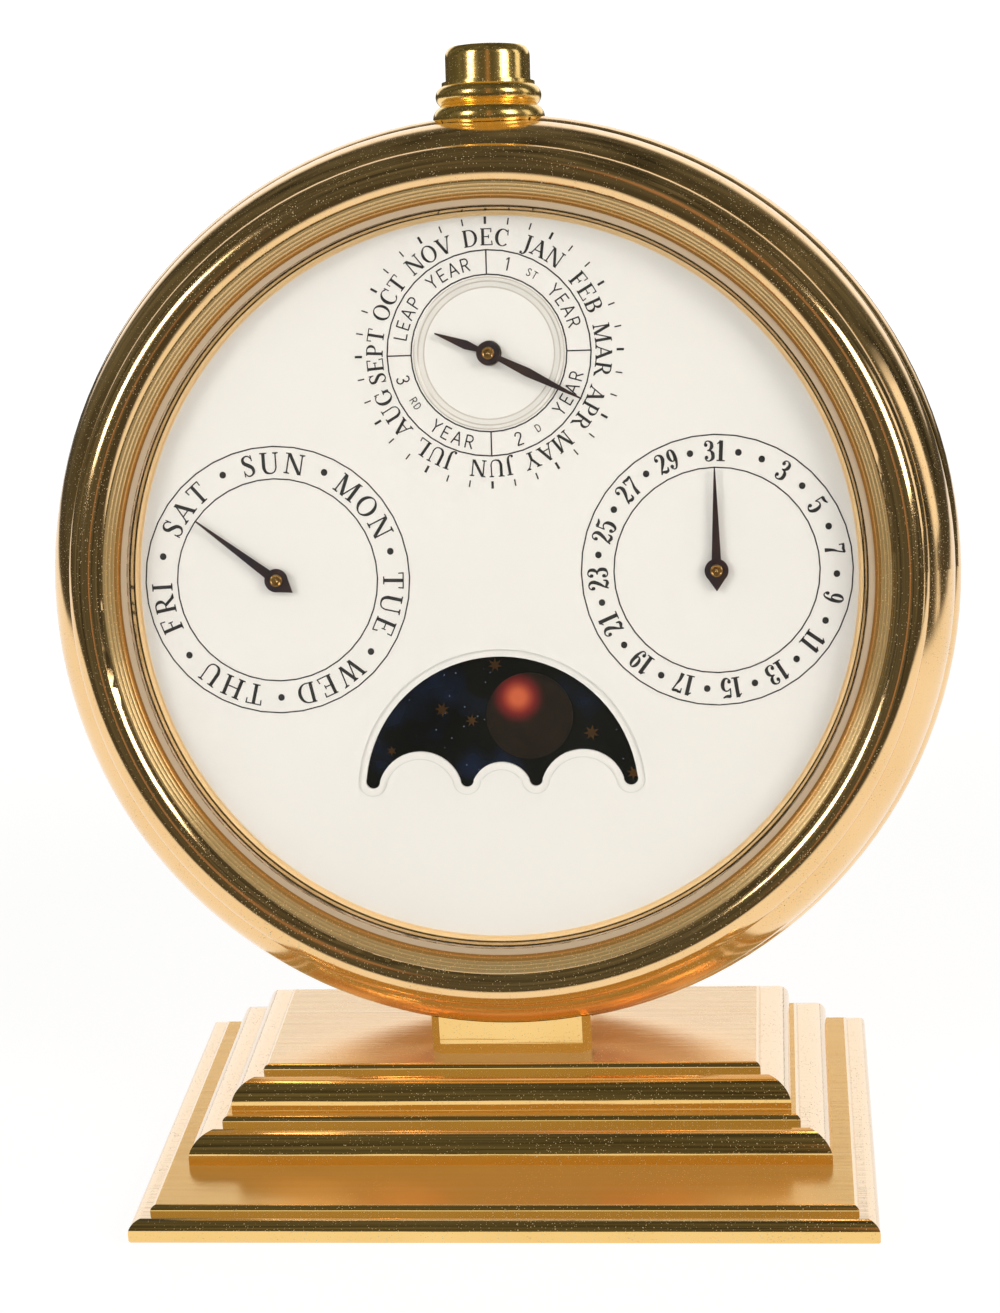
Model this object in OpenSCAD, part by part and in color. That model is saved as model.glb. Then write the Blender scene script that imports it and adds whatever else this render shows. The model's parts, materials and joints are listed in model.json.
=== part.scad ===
/* [Stand] */
// Width of the lower plate
base_w = 96; // [86:1:120]
// Depth of the lower plate, front to back
base_d = 60; // [56:1:80]
// Gap under the lower plate, filled by the pad
foot_gap = 0.2; // [0.2:0.1:1]
// Height of the upright edge of the lower plate
plate_edge_h = 1.5; // [1.2:0.1:3]
// Radius of the rounded moulding of the lower plate
plate_ovolo_r = 1.45; // [1:0.05:2]
// Height of the bead that borders the brushed face of the lower plate
plate_bead_h = 1.05; // [0.8:0.05:2]
// Width of the two upper tiers, at the foot of the middle one
tier_w = 84.8; // [76:0.2:86]
// Depth of the two upper tiers, at the foot of the middle one
tier_d = 42.7; // [38:0.1:46]
// Ledge of the lower plate left behind the tiers
tier_back = 0.6; // [0.4:0.1:6]
// Height of the upright edge of the middle tier
mid_edge_h = 0.85; // [0.5:0.05:2]
// Radius of the rounded moulding of the middle tier
mid_ovolo_r = 2.95; // [2:0.05:3.5]
// Height of the bead on the middle tier
mid_bead_h = 1.1; // [0.8:0.05:2]
// Step from the middle tier's bead in to the top tier
top_inset = 0.5; // [0.2:0.05:2]
// Height of the upright edge of the top tier
top_edge_h = 1.15; // [0.5:0.05:2]
// Radius of the rounded moulding of the top tier
top_ovolo_r = 2.85; // [2:0.05:3.5]
// Height of the bead on the top tier
top_bead_h = 1.1; // [0.8:0.05:2]
// Level step between each moulding and the bead above it
ledge_w = 1.1; // [0.6:0.05:1.6]
// Radius of the beads
bead_r = 0.68; // [0.4:0.02:0.75]
// Thickness of the pad let into the underside
pad_t = 1.0; // [0.6:0.1:1.2]
// Border of the lower plate left round the pad
pad_border = 3; // [2:0.5:6]

/* [Neck] */
// Width of the neck block
neck_w = 21.4; // [19:0.2:26]
// Depth of the neck block
neck_d = 15.2; // [14:0.2:18]
// Distance of the neck's front face behind the front of the top face
neck_back = 2.7; // [1:0.1:3]
// Chamfer of the neck's upright corners
neck_chamfer = 1.1; // [0.5:0.1:2]
// Width of the tenon under the neck
tenon_w = 18; // [17:0.5:18.5]
// Depth of the tenon under the neck
tenon_d = 10; // [9:0.5:11]

/* [Case] */
// Lean of the case back from upright, in degrees
case_lean = 13; // [11:0.5:14]
// Gap between the stand and the lowest line of the case
case_gap = 1.7; // [1.4:0.1:3]
// Distance of that line in front of the middle of the neck
case_lead = 2; // [1:0.1:2.6]
// Radius of the dial that shows
dial_r = 47.2; // [47:0.1:47.6]
// Thickness of the dial plate
dial_t = 0.8; // [0.5:0.1:1]
// Height of the flange between the dial and the glass
flange_h = 1.7; // [1.6:0.1:2.2]
// Width of the flange's sloping wall
flange_w = 1.1; // [0.8:0.1:1.4]
// Thickness of the glass
glass_t = 1.3; // [1:0.1:1.8]
// Width of the flat land round the glass
land_w = 1.1; // [0.8:0.1:1.3]
// Thickness of the lip over the glass
lip_t = 0.5; // [0.4:0.1:0.8]
// Width of the stepped slope from the land to the front roll
slope_w = 1.8; // [1.6:0.1:2.2]
// Rise of the stepped slope over the land
slope_rise = 1.1; // [0.8:0.1:1.4]
// Number of steps in that slope
slope_steps = 4; // [2:1:6]
// Radius of the front roll of the bezel
front_roll_r = 2.7; // [2.4:0.1:3]
// Radius of the side roll of the bezel
side_roll_r = 9; // [8.5:0.5:12]
// Width of the side roll, from the groove out to the seam
side_roll_w = 3.7; // [3.4:0.1:4]
// Distance of the seam of the bezel behind the dial's face
seam_z = 4.5; // [4.3:0.1:5]
// Radius of the roll round the case band
band_roll_r = 5; // [4.6:0.1:6]
// Height of that roll over the edge of the bezel
band_proud = 0.95; // [0.6:0.05:1.1]
// Depth of the case from the dial's face to the back
case_depth = 19.3; // [18.6:0.1:22]
// Width of the rim that the case leaves round the back cover
rim_w = 2.2; // [2:0.1:3]
// Thickness of the back cover
cover_t = 1.3; // [1:0.1:1.8]

/* [Push button] */
// Radius of the button
button_r = 5.6; // [5:0.1:6]
// Height of the button over the collar
button_h = 5; // [4:0.1:6]
// Travel of the button
button_travel = 2; // [1:0.1:2.2]
// Distance of the button's axis behind the dial's face
button_z = 9; // [8.8:0.1:9.4]
// Radius of the collar's upper ring
ring_r = 7; // [6.9:0.1:7.4]
// Radius of the collar's foot
collar_r = 7.4; // [7:0.1:7.6]
// Radius of the button's stem
stem_r = 1.4; // [1:0.1:1.5]

/* [Dial] */
// Distance of the four small dials from the middle of the layout
sub_offset = 28.9; // [28.6:0.1:29.1]
// Height of the middle of the layout over the middle of the case
layout_up = 0.6; // [0:0.1:1]
// Radius of the sunk disc under the month hand
sunk_r = 9.4; // [8:0.1:10]
// Radius of the moon opening
moon_open_r = 18.1; // [17.5:0.1:18.2]
// Radius of a painted moon
moon_r = 5.7; // [5:0.1:5.8]
// Distance of a moon from the middle of its disc
moon_orbit = 10.8; // [10.4:0.1:11]
// Length of the day, date and month hands from the pin to the tip
hand_len = 13.3; // [11:0.1:13.4]
// Length of the leap year hand
leap_len = 7.5; // [6:0.1:8]
// Radius of the hands' hubs
hub_r = 1.55; // [1.45:0.05:1.8]
// Width of the hands
hand_w = 1.2; // [0.8:0.05:1.4]
// Direction of the day hand, clockwise from the top
day_turn = 307.5; // [0:0.5:360]
// Direction of the month hand
month_turn = 117.5; // [0:0.5:360]
// Direction of the leap year hand
leap_turn = 291.5; // [0:0.5:360]
// Direction of the painted moon that shows
moon_turn = 21; // [0:0.5:360]

/* [Movement] */
// Module of the leap year gearing
gear_m = 0.35; // [0.3:0.01:0.36]
// Teeth of each pinion of the leap year gearing
pinion_n = 12; // [12:1:12]
// Teeth of each wheel of the leap year gearing
wheel_n = 24; // [24:1:24]
// Radius of the arbors
arbor_r = 0.8; // [0.7:0.05:0.9]
// Radius of the arbors' rear pivots
pivot_r = 0.5; // [0.4:0.05:0.6]
// Radius of the pillars
pillar_r = 2; // [1.5:0.1:2.5]
// Distance of the pillars from the middle
pillar_out = 38; // [37:0.5:40]
// Thickness of the movement plate
main_t = 1.8; // [1.4:0.1:1.8]
// Thickness of the rear bridge
bridge_t = 1.2; // [1:0.1:1.5]

/* [Clearances] */
// Running clearance round arbors, pins and the stem
run_c = 0.05; // [0.02:0.01:0.09]
// Clearance under what is seated on the round of the case
seat_c = 0.03; // [0.03:0.01:0.1]
// Clearance between pieces that fit one in another and stay put
fit_c = 0.05; // [0.02:0.01:0.05]
// Clearance of bolt holes round their screws
bolt_c = 0.15; // [0.1:0.05:0.2]

/* [Hidden] */

$fn = 96;
eps = 0.01;
gilt = "#d9a441";
polished = "#e3b457";
steel = "#b9bcc0";
blued = "#23242b";

// Stand: levels and insets of the stacked tiers.
plate_h = plate_edge_h + plate_ovolo_r + plate_bead_h;
mid_h = mid_edge_h + mid_ovolo_r + mid_bead_h;
top_h = top_edge_h + top_ovolo_r + top_bead_h;
mid_z = foot_gap + plate_h;
top_z = mid_z + mid_h;
stand_h = top_z + top_h;
plate_face_in = plate_ovolo_r + ledge_w + bead_r;
mid_face_in = mid_ovolo_r + ledge_w + bead_r;
top_face_in = top_ovolo_r + ledge_w + bead_r;
top_w = tier_w - 2 * (mid_face_in + top_inset);
top_d = tier_d - 2 * (mid_face_in + top_inset);
tier_y = base_d / 2 - plate_face_in - tier_back - tier_d / 2;
pad_recess = pad_t - foot_gap;
under_r = 0.6;

tier_screw_r = 1.5;
tier_screw_head_r = 2.9;
tier_screw_x = top_w / 2 - 7;
tier_screw_y = top_d / 2 - 7;
tier_screw_top = stand_h - 1.6;

// Neck.
neck_front_y = tier_y - top_d / 2 + top_face_in + neck_back;
neck_y = neck_front_y + neck_d / 2;
neck_top_h = case_gap + neck_d * 0.42;
neck_screw_r = 2.2;
neck_screw_head_r = 4;
neck_screw_reach = 5.6;
case_screw_r = 1.4;
case_screw_x = 6.4;
case_screw_head_r = 2.4;
case_screw_head_h = 1.4;
case_screw_len = 13;

// Case: radii from the dial outwards, and distances from the dial's face, towards the viewer.
lip_r = dial_r + flange_w + 0.1;
land_r = lip_r + land_w;
slope_r = land_r + slope_w;
bore_r = land_r + 1.1;
glass_r = bore_r - 0.7;
front_roll_c = slope_r + sqrt(pow(front_roll_r, 2) - pow(lip_t + slope_rise, 2));
groove_r = front_roll_c + front_roll_r;
seam_r = groove_r + side_roll_w;
glass_z = flange_h;
lip_z = glass_z + glass_t;
front_roll_z = lip_z;
groove_z = front_roll_z - 0.4;
band_crown_r = seam_r + band_proud;
band_roll_z = seam_z + 3.5;
band_plain_r = seam_r - 0.65;
cover_r = band_plain_r - rim_w;
spigot_r = band_plain_r - 1.9;
spigot_in_r = spigot_r - 2.1;
spigot_end_z = seam_z + 1.6;
shoulder_z = spigot_end_z + 0.1;
ring_front_z = dial_t + 0.1;
plate_z = shoulder_z - 0.1;
plate_front_z = plate_z - main_t;
band_in_r = spigot_in_r - 2.8;
ring_in_r = band_in_r - 3.4;
main_r = spigot_in_r - 0.1;
cover_z = case_depth - cover_t;
rear_roll_r = 2.4;

// The side roll's centre, from the foot of the groove, the seam and its radius.
groove_foot_r = front_roll_c + sqrt(pow(front_roll_r, 2) - pow(front_roll_z - groove_z, 2));
roll_chord = [seam_r - groove_foot_r, -seam_z - groove_z];
roll_half = norm(roll_chord) / 2;
roll_dir = roll_chord / norm(roll_chord);
roll_drop = sqrt(side_roll_r * side_roll_r - roll_half * roll_half);
side_roll_c = [groove_foot_r, groove_z] + roll_dir * roll_half + [roll_dir[1], -roll_dir[0]] * roll_drop;

// Place of the middle of the dial: the case stands over the neck, clear of the stand.
case_low = band_roll_r + (band_crown_r - band_roll_r) * cos(case_lean) + band_roll_z * sin(case_lean);
case_z = stand_h + case_gap + case_low;
case_y = neck_y - case_lead + band_crown_r * sin(case_lean) - band_roll_z * cos(case_lean);

// Levels of the movement, measured back from the dial's face.
moon_disc_z = dial_t + 0.4;
moon_disc_t = 0.4;
moon_disc_r = moon_open_r + 0.9;
train_a_z = plate_z + 0.6;
star_z = plate_z + 1.2;
train_b_z = plate_z + 1.9;
lever_z = plate_z + 2.7;
month_star_z = plate_z + 3.7;
bridge_z = plate_z + 5.2;
wheel_t = 0.6;
pinion_t = 0.9;
lever_t = 1.1;
bridge_r = pillar_out + 4;
arbor_front = 1.15;

// Places on the dial.
date_at = [sub_offset, layout_up];
day_at = [-sub_offset, layout_up];
month_at = [0, sub_offset + layout_up];
moon_at = [0, layout_up - sub_offset + 0.1];
gear_gap = gear_m * (pinion_n + wheel_n) / 2;
idler_at = month_at + [gear_gap, 0];

date_star_r = 9.4;
day_star_r = 7;
month_star_r = 4.9;
moon_star_r = 12;
hand_z = 0.75;
hand_t = 0.22;
leap_hand_z = 0.4;
pipe_r = arbor_r + run_c + 0.3;
dot_depth = 0.12;

// Button: distances up from the middle of the case.
cup_top = band_crown_r + 4.3;
cup_floor = cup_top - button_travel - 0.5;
button_bottom = cup_top - 0.35;
button_top = cup_top + button_h;
ring_tube_r = 1.45;
ring_up = cup_top - ring_tube_r - 0.35;
foot_tube_r = 1.8;
foot_up = ring_up - ring_tube_r - foot_tube_r + 0.35;
collar_core_r = 5.2;
shank_r = 2.4;
shank_end = spigot_in_r + 0.2;
stem_end = 45.2;
spring_r = 2.7;
spring_wire_r = 0.25;
spring_turns = 6;
spring_seat = band_crown_r + 0.1;
spring_top = cup_top + 2.2;
lever_pivot = [-20, 38];
pad_r = 1.5;
lever_pad = [0, stem_end - pad_r - 0.02];
lever_elbow = [20, 36];
day_pawl = day_at + [6.9, 7.9];
date_pawl = date_at + [-4.9, 12.4];

corrector_r = 1.2;
corrector_cup_r = 2.2;
corrector_travel = 1.2;
corrector_end_z = bridge_z + bridge_t + 0.3 + corrector_travel;
boss_z = cover_z - 2;
day_corrector_at = [-sub_offset, layout_up - 12];
month_corrector_at = [14, sub_offset + 3];
moon_corrector_at = [0, -sub_offset - 13];

// ---- Helpers ----

// The case's own frame: X right, Y up the dial, Z from the dial towards the viewer.
module in_case() {
    translate([0, case_y, case_z]) rotate([90 - case_lean, 0, 0]) children();
}

// A round piece between two distances behind the dial's face.
module disc(r, back, front, at = [0, 0]) {
    translate([at[0], at[1], -back]) cylinder(r = r, h = back - front);
}

// An outline cut from plate, between two distances behind the dial's face.
module plate(back, front, at = [0, 0], turn = 0) {
    translate([at[0], at[1], -back]) rotate([0, 0, -turn]) linear_extrude(back - front) children();
}

// A straight flat bar with a boss at its far end.
module bar(back, front, from, to, w) {
    d = to - from;
    plate(back, front, from) rotate(atan2(d[1], d[0])) translate([0, -w / 2]) square([norm(d), w]);
    disc(w / 2 + 0.3, back, front, to);
}

// Section of a moulded slab: upright edge, quarter round, level ledge and small bead.
module slab_section(w, edge_h, ovolo_r, bead_h, bottom_r) {
    h = edge_h + ovolo_r + bead_h;
    bead_w = w - 2 * (ovolo_r + ledge_w);
    translate([-w / 2 + bottom_r, 0]) square([w - 2 * bottom_r, edge_h]);
    translate([-w / 2, bottom_r]) square([w, edge_h - bottom_r]);
    translate([-w / 2 + ovolo_r, 0]) square([w - 2 * ovolo_r, edge_h + ovolo_r]);
    translate([-bead_w / 2, 0]) square([bead_w, h - bead_r]);
    translate([-bead_w / 2 + bead_r, 0]) square([bead_w - 2 * bead_r, h]);
    for (s = [-1, 1]) {
        intersection() {
            translate([s * (w / 2 - ovolo_r), edge_h]) circle(r = ovolo_r);
            translate([-w / 2, 0]) square([w, h]);
        }
        translate([s * (bead_w / 2 - bead_r), h - bead_r]) circle(r = bead_r);
        if (bottom_r > 0) translate([s * (w / 2 - bottom_r), bottom_r]) circle(r = bottom_r);
    }
}

// A rectangular slab with that moulding on all four sides and mitred corners.
module moulded_slab(w, d, edge_h, ovolo_r, bead_h, bottom_r = 0) {
    intersection() {
        translate([0, d / 2, 0]) rotate([90, 0, 0]) linear_extrude(d)
            slab_section(w, edge_h, ovolo_r, bead_h, bottom_r);
        translate([-w / 2, 0, 0]) rotate([90, 0, 90]) linear_extrude(w)
            slab_section(d, edge_h, ovolo_r, bead_h, bottom_r);
    }
}

// Countersunk screw with its head's flat face at the origin and its shank upwards.
module countersunk(r, head_r, len) {
    cylinder(r1 = head_r, r2 = r, h = head_r - r);
    cylinder(r = r, h = len);
}

// Cheese-head screw along -Z, with the head above the origin and a slot across it.
module cheese_head(r, len, head_r, head_h) {
    difference() {
        cylinder(r = head_r, h = head_h);
        translate([-head_r, -head_r / 7, head_h * 0.55]) cube([2 * head_r, head_r / 3.5, head_h]);
    }
    translate([0, 0, -len]) cylinder(r = r, h = len + head_h / 4);
}

// A star of n points for a jumper to rest in.
module star(n, tip, depth) {
    polygon([for (i = [0 : 2 * n - 1])
        let (a = 180 * i / n, q = i % 2 == 0 ? tip : tip - depth) [q * sin(a), q * cos(a)]]);
}

// Gear teeth: straight flanks on the pitch circle, with backlash.
module gear(n, m) {
    rp = n * m / 2;
    step = 360 / n;
    polygon([for (i = [0 : n - 1], k = [0 : 3])
        let (q = k == 0 || k == 3 ? rp - 1.2 * m : rp + 0.85 * m,
             a = i * step + [-0.27, -0.1, 0.1, 0.27][k] * step) [q * sin(a), q * cos(a)]]);
}

// ---- Stand ----

module tier_screw_places() {
    for (sx = [-1, 1], sy = [-1, 1])
        translate([sx * tier_screw_x, tier_y + sy * tier_screw_y, pad_t]) children();
}

module foot_pad() {
    color("#2c3a31")
    translate([0, 0, pad_t / 2])
        cube([base_w - 2 * (pad_border + fit_c), base_d - 2 * (pad_border + fit_c), pad_t], center = true);
}

module base_plate() {
    color(gilt) difference() {
        translate([0, 0, foot_gap])
            moulded_slab(base_w, base_d, plate_edge_h, plate_ovolo_r, plate_bead_h, under_r);
        translate([0, 0, pad_t - pad_recess / 2 - 1])
            cube([base_w - 2 * pad_border, base_d - 2 * pad_border, pad_recess + 2], center = true);
        tier_screw_places() countersunk(tier_screw_r + bolt_c, tier_screw_head_r + bolt_c, plate_h);
        translate([0, neck_y, pad_t])
            countersunk(neck_screw_r + bolt_c, neck_screw_head_r + bolt_c, plate_h);
    }
}

module middle_tier() {
    color(gilt) difference() {
        translate([0, tier_y, mid_z]) moulded_slab(tier_w, tier_d, mid_edge_h, mid_ovolo_r, mid_bead_h);
        tier_screw_places() cylinder(r = tier_screw_r + bolt_c, h = stand_h - 2);
        translate([0, neck_y, 0]) cylinder(r = neck_screw_r + bolt_c, h = stand_h);
    }
}

module top_tier() {
    color(gilt) difference() {
        translate([0, tier_y, top_z]) moulded_slab(top_w, top_d, top_edge_h, top_ovolo_r, top_bead_h);
        tier_screw_places() cylinder(r = tier_screw_r + 0.02, h = tier_screw_top + 0.1 - pad_t);
        translate([0, neck_y, top_z + top_h / 2])
            cube([tenon_w + 2 * fit_c, tenon_d + 2 * fit_c, top_h + 1], center = true);
    }
}

module tier_screws() {
    color(steel) tier_screw_places()
        countersunk(tier_screw_r, tier_screw_head_r, tier_screw_top - pad_t);
}

// ---- Neck ----

module neck_outline(w, d, c) {
    polygon([[-w / 2 + c, -d / 2], [w / 2 - c, -d / 2], [w / 2, -d / 2 + c], [w / 2, d / 2 - c],
             [w / 2 - c, d / 2], [-w / 2 + c, d / 2], [-w / 2, d / 2 - c], [-w / 2, -d / 2 + c]]);
}

module case_screw_places() {
    for (s = [-1, 1]) in_case()
        translate([s * case_screw_x, -band_in_r + 0.35, -button_z - 0.5]) rotate([-90, 0, 0]) children();
}

module neck() {
    color(polished) difference() {
        union() {
            translate([0, neck_y, stand_h]) linear_extrude(neck_top_h)
                neck_outline(neck_w, neck_d, neck_chamfer);
            translate([0, neck_y, top_z + (stand_h - top_z) / 2 + eps])
                cube([tenon_w, tenon_d, stand_h - top_z + 2 * eps], center = true);
        }
        case_shape();
        case_screw_places() translate([0, 0, -case_screw_len - 0.2])
            cylinder(r = case_screw_r + 0.02, h = case_screw_len);
        translate([0, neck_y, 0]) cylinder(r = neck_screw_r + 0.02, h = top_z + neck_screw_reach + 0.2);
    }
}

module neck_screw() {
    color(steel) translate([0, neck_y, pad_t])
        countersunk(neck_screw_r, neck_screw_head_r, top_z + neck_screw_reach - pad_t);
}

module case_screws() {
    color(steel) case_screw_places()
        cheese_head(case_screw_r, case_screw_len, case_screw_head_r, case_screw_head_h);
}

// ---- Case ----

// Half outline of the bezel's two rolls, from the middle outwards, grown by g.
module bezel_outline(g) {
    translate([0, -seam_z - g]) square([groove_r - front_roll_r / 2, seam_z + groove_z + g]);
    translate([front_roll_c, front_roll_z]) circle(r = front_roll_r + g);
    intersection() {
        translate(side_roll_c) circle(r = side_roll_r + g);
        translate([front_roll_c, -seam_z - g]) square([seam_r, seam_z + groove_z + 1]);
    }
}

// Half outline of the case band: roll, plain wall and rear roll, grown by g.
module band_outline(g) {
    top = -seam_z - fit_c + g;
    translate([0, -case_depth]) square([band_plain_r - rear_roll_r, case_depth + top]);
    translate([0, -case_depth + rear_roll_r]) square([band_plain_r + g, case_depth - rear_roll_r + top]);
    translate([band_plain_r - rear_roll_r, -case_depth + rear_roll_r]) circle(r = rear_roll_r + g);
    intersection() {
        translate([band_crown_r - band_roll_r, -band_roll_z]) circle(r = band_roll_r + g);
        translate([band_plain_r - 2, -2 * band_roll_z - top]) square([10, 2 * (band_roll_z + top)]);
    }
}

// The case's outer shape, taken out of what is seated on it.
module case_shape() {
    in_case() rotate_extrude() band_outline(seat_c);
    in_case() rotate_extrude() bezel_outline(seat_c);
}

// Stepped slope from the land up to the front roll.
module slope_outline() {
    step_w = slope_w / slope_steps;
    for (i = [1 : slope_steps])
        translate([land_r + (i - 1) * step_w, 0])
            square([step_w + eps, lip_z + lip_t + slope_rise * (i - 0.1) / slope_steps]);
}

module front_bezel() {
    color(polished) in_case() rotate_extrude() difference() {
        union() {
            intersection() {
                bezel_outline(0);
                translate([bore_r - 0.2, -seam_z]) square([seam_r, seam_r]);
            }
            translate([bore_r - 0.2, 0]) square([front_roll_r, front_roll_z]);
            slope_outline();
            translate([lip_r, 0]) square([land_w + eps, lip_z + lip_t]);
            translate([spigot_in_r, -spigot_end_z]) square([spigot_r - fit_c - spigot_in_r, spigot_end_z]);
        }
        translate([0, -ring_front_z]) square([bore_r, lip_z + ring_front_z]);
        translate([0, -spigot_end_z - 1]) square([spigot_in_r, spigot_end_z + 1 - ring_front_z]);
    }
}

module case_band() {
    color(polished) difference() {
        in_case() rotate_extrude() difference() {
            band_outline(0);
            translate([0, -case_depth - 1]) square([band_in_r, case_depth + 2]);
            translate([0, -shoulder_z]) square([spigot_r, shoulder_z]);
            translate([0, -case_depth - 1]) square([cover_r + fit_c, cover_t + 1]);
        }
        in_case() translate([0, 0, -button_z]) rotate([-90, 0, 0]) cylinder(r = shank_r + 0.01, h = cup_top);
        case_screw_places() translate([0, 0, -case_screw_len])
            cylinder(r = case_screw_r + bolt_c, h = case_screw_len);
        case_screw_places() cylinder(r = case_screw_head_r + bolt_c, h = 3);
        in_case() cover_screw_places() translate([0, 0, -cover_screw_len - 0.1])
            cylinder(r = cover_screw_r + 0.02, h = cover_screw_len);
    }
}

module crystal() {
    color("#dfe8ee", 0.25) in_case() disc(glass_r, -glass_z, -lip_z + 0.02);
}

module crystal_gasket() {
    color("#e9e4da") in_case() rotate_extrude()
        translate([glass_r + fit_c, glass_z + 0.02])
            square([bore_r - glass_r - 2 * fit_c, glass_t - 0.04]);
}

module dial_flange() {
    color(gilt) in_case() rotate_extrude()
        polygon([[dial_r, 0], [dial_r, 0.15], [dial_r + 0.3, 0.15], [dial_r + flange_w, flange_h],
                 [bore_r - fit_c, flange_h], [bore_r - fit_c, 0]]);
}

// ---- Dial ----

// Moon opening: a broad arch over three domes, with rounded points, all grown by g.
module moon_opening(g) {
    dome_r = moon_r - 0.05 - g;
    mid_dome_r = 4.1 - g;
    cut = 1.75;
    side_x = sqrt(pow(moon_open_r, 2) - cut * cut);
    dome_x = sqrt(pow(dome_r + g, 2) - cut * cut);
    mid_x = sqrt(pow(mid_dome_r + g, 2) - cut * cut);
    difference() {
        intersection() {
            circle(r = moon_open_r + g);
            translate([-2 * moon_open_r, cut]) square([4 * moon_open_r, 2 * moon_open_r]);
        }
        for (s = [-1, 1]) translate([s * moon_orbit, 0]) circle(r = dome_r);
        circle(r = mid_dome_r);
    }
    for (s = [-1, 1]) {
        points = [[moon_orbit + dome_x, side_x], [mid_x, moon_orbit - dome_x]];
        for (p = points)
            translate([s * (p[0] + p[1]) / 2, cut]) circle(r = abs(p[1] - p[0]) / 2 + g + 0.03);
    }
}

module dial_plate() {
    color("#f1eee6") in_case() difference() {
        disc(bore_r - fit_c, dial_t, 0);
        plate(dial_t + 1, -1, moon_at) moon_opening(0);
        plate(0.2, -1, moon_at) moon_opening(0.95);
        disc(sunk_r, 0.2, -1, month_at);
        disc(pipe_r + 0.5, dial_t + 1, -1, month_at);
        for (p = [date_at, day_at]) disc(arbor_r + 0.4, dial_t + 1, -1, p);
    }
}

module movement_ring() {
    color(gilt) in_case() difference() {
        disc(spigot_in_r - fit_c, plate_front_z, ring_front_z);
        disc(ring_in_r, plate_front_z + 1, ring_front_z - 1);
        plate_screw_places() translate([0, 0, -plate_z + main_t - 0.1]) cylinder(r = 0.82, h = 2.3);
    }
}

// ---- Movement frame ----

module plate_screw_places() {
    for (a = [90, 210, 330]) rotate(a) translate([band_in_r - 1.9, 0, 0]) children();
}

module pillar_places() {
    for (a = [45 : 90 : 315]) rotate(a) translate([pillar_out, 0, 0]) children();
}

module main_plate() {
    color(gilt) in_case() difference() {
        disc(main_r, plate_z, plate_front_z);
        plate_screw_places() translate([0, 0, -plate_z - 1]) cylinder(r = 0.8 + bolt_c, h = main_t + 2);
        for (p = [date_at, day_at, moon_at]) disc(arbor_r + run_c, plate_z + 1, plate_front_z - 1, p);
        disc(pipe_r + run_c, plate_z + 1, plate_front_z - 1, month_at);
        disc(pivot_r + run_c, plate_z + 1, plate_front_z - 1, idler_at);
        disc(1.02, plate_z + 1, plate_front_z - 1, lever_pivot);
        jumper_places() disc(0.62, plate_z + 1, plate_front_z - 1);
    }
}

module plate_screws() {
    color(steel) in_case() plate_screw_places() translate([0, 0, -plate_z]) rotate([180, 0, 0])
        cheese_head(0.8, main_t + 2, 1.6, 0.8);
}

module pillars() {
    color(gilt) in_case() pillar_places() difference() {
        translate([0, 0, -bridge_z]) cylinder(r = pillar_r, h = bridge_z - plate_z);
        translate([0, 0, -bridge_z - 1]) cylinder(r = 0.82, h = 4.2);
    }
}

module rear_bridge() {
    back = bridge_z + bridge_t;
    color(gilt) in_case() difference() {
        disc(bridge_r, back, bridge_z);
        pillar_places() translate([0, 0, -back - 1]) cylinder(r = 0.8 + bolt_c, h = bridge_t + 2);
        for (p = [date_at, day_at, moon_at, month_at, idler_at])
            disc(pivot_r + run_c, back + 1, bridge_z - 1, p);
        disc(12, back + 1, bridge_z - 1);
    }
}

module bridge_screws() {
    color(steel) in_case() pillar_places() translate([0, 0, -bridge_z - bridge_t]) rotate([180, 0, 0])
        cheese_head(0.8, bridge_t + 2.8, 1.6, 0.8);
}

// ---- Back ----

cover_screw_r = 0.9;
cover_screw_len = cover_t + 2.6;
cover_screw_out = (band_in_r + cover_r) / 2;

module cover_screw_places() {
    for (a = [30 : 60 : 330]) rotate(a) translate([cover_screw_out, 0, -case_depth]) rotate([180, 0, 0])
        children();
}

module corrector_places() {
    for (p = [day_corrector_at, month_corrector_at, moon_corrector_at]) translate(p) children();
}

module back_cover() {
    color(polished) in_case() difference() {
        union() {
            disc(cover_r, case_depth, cover_z);
            disc(band_in_r - 2 * fit_c, cover_z + eps, cover_z - 0.8);
            corrector_places() disc(corrector_cup_r + 1.5, cover_z + eps, boss_z);
        }
        cover_screw_places() translate([0, 0, -cover_t - 1])
            cylinder(r = cover_screw_r + bolt_c, h = cover_t + 2);
        corrector_places() {
            disc(corrector_r + run_c, case_depth + 1, boss_z - 1);
            disc(corrector_cup_r, case_depth + 1, cover_z);
        }
    }
}

module cover_screws() {
    color(steel) in_case() cover_screw_places()
        cheese_head(cover_screw_r, cover_screw_len, 1.6, 0.9);
}

// A corrector: a pin that lies in a cup in the back cover and slides towards the dial.
module corrector(at) {
    color(steel) in_case() {
        disc(corrector_r, case_depth - 0.3, corrector_end_z, at);
        disc(corrector_r + 0.7, boss_z - 0.05, boss_z - 0.65, at);
    }
}

// ---- Push button ----

module along_button() {
    in_case() translate([0, 0, -button_z]) rotate([-90, 0, 0]) children();
}

module button_collar() {
    color(polished) difference() {
        union() {
            difference() {
                along_button() rotate_extrude() collar_outline();
                case_shape();
            }
            along_button() translate([0, 0, shank_end])
                cylinder(r = shank_r, h = cup_floor - 0.5 - shank_end);
        }
        along_button() {
            translate([0, 0, cup_floor]) cylinder(r = button_r + run_c, h = button_h);
            translate([0, 0, spring_seat])
                cylinder(r = spring_r + spring_wire_r + 0.25, h = cup_top - spring_seat);
            translate([0, 0, shank_end - 1]) cylinder(r = stem_r + run_c, h = cup_top - shank_end);
        }
    }
}

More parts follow.
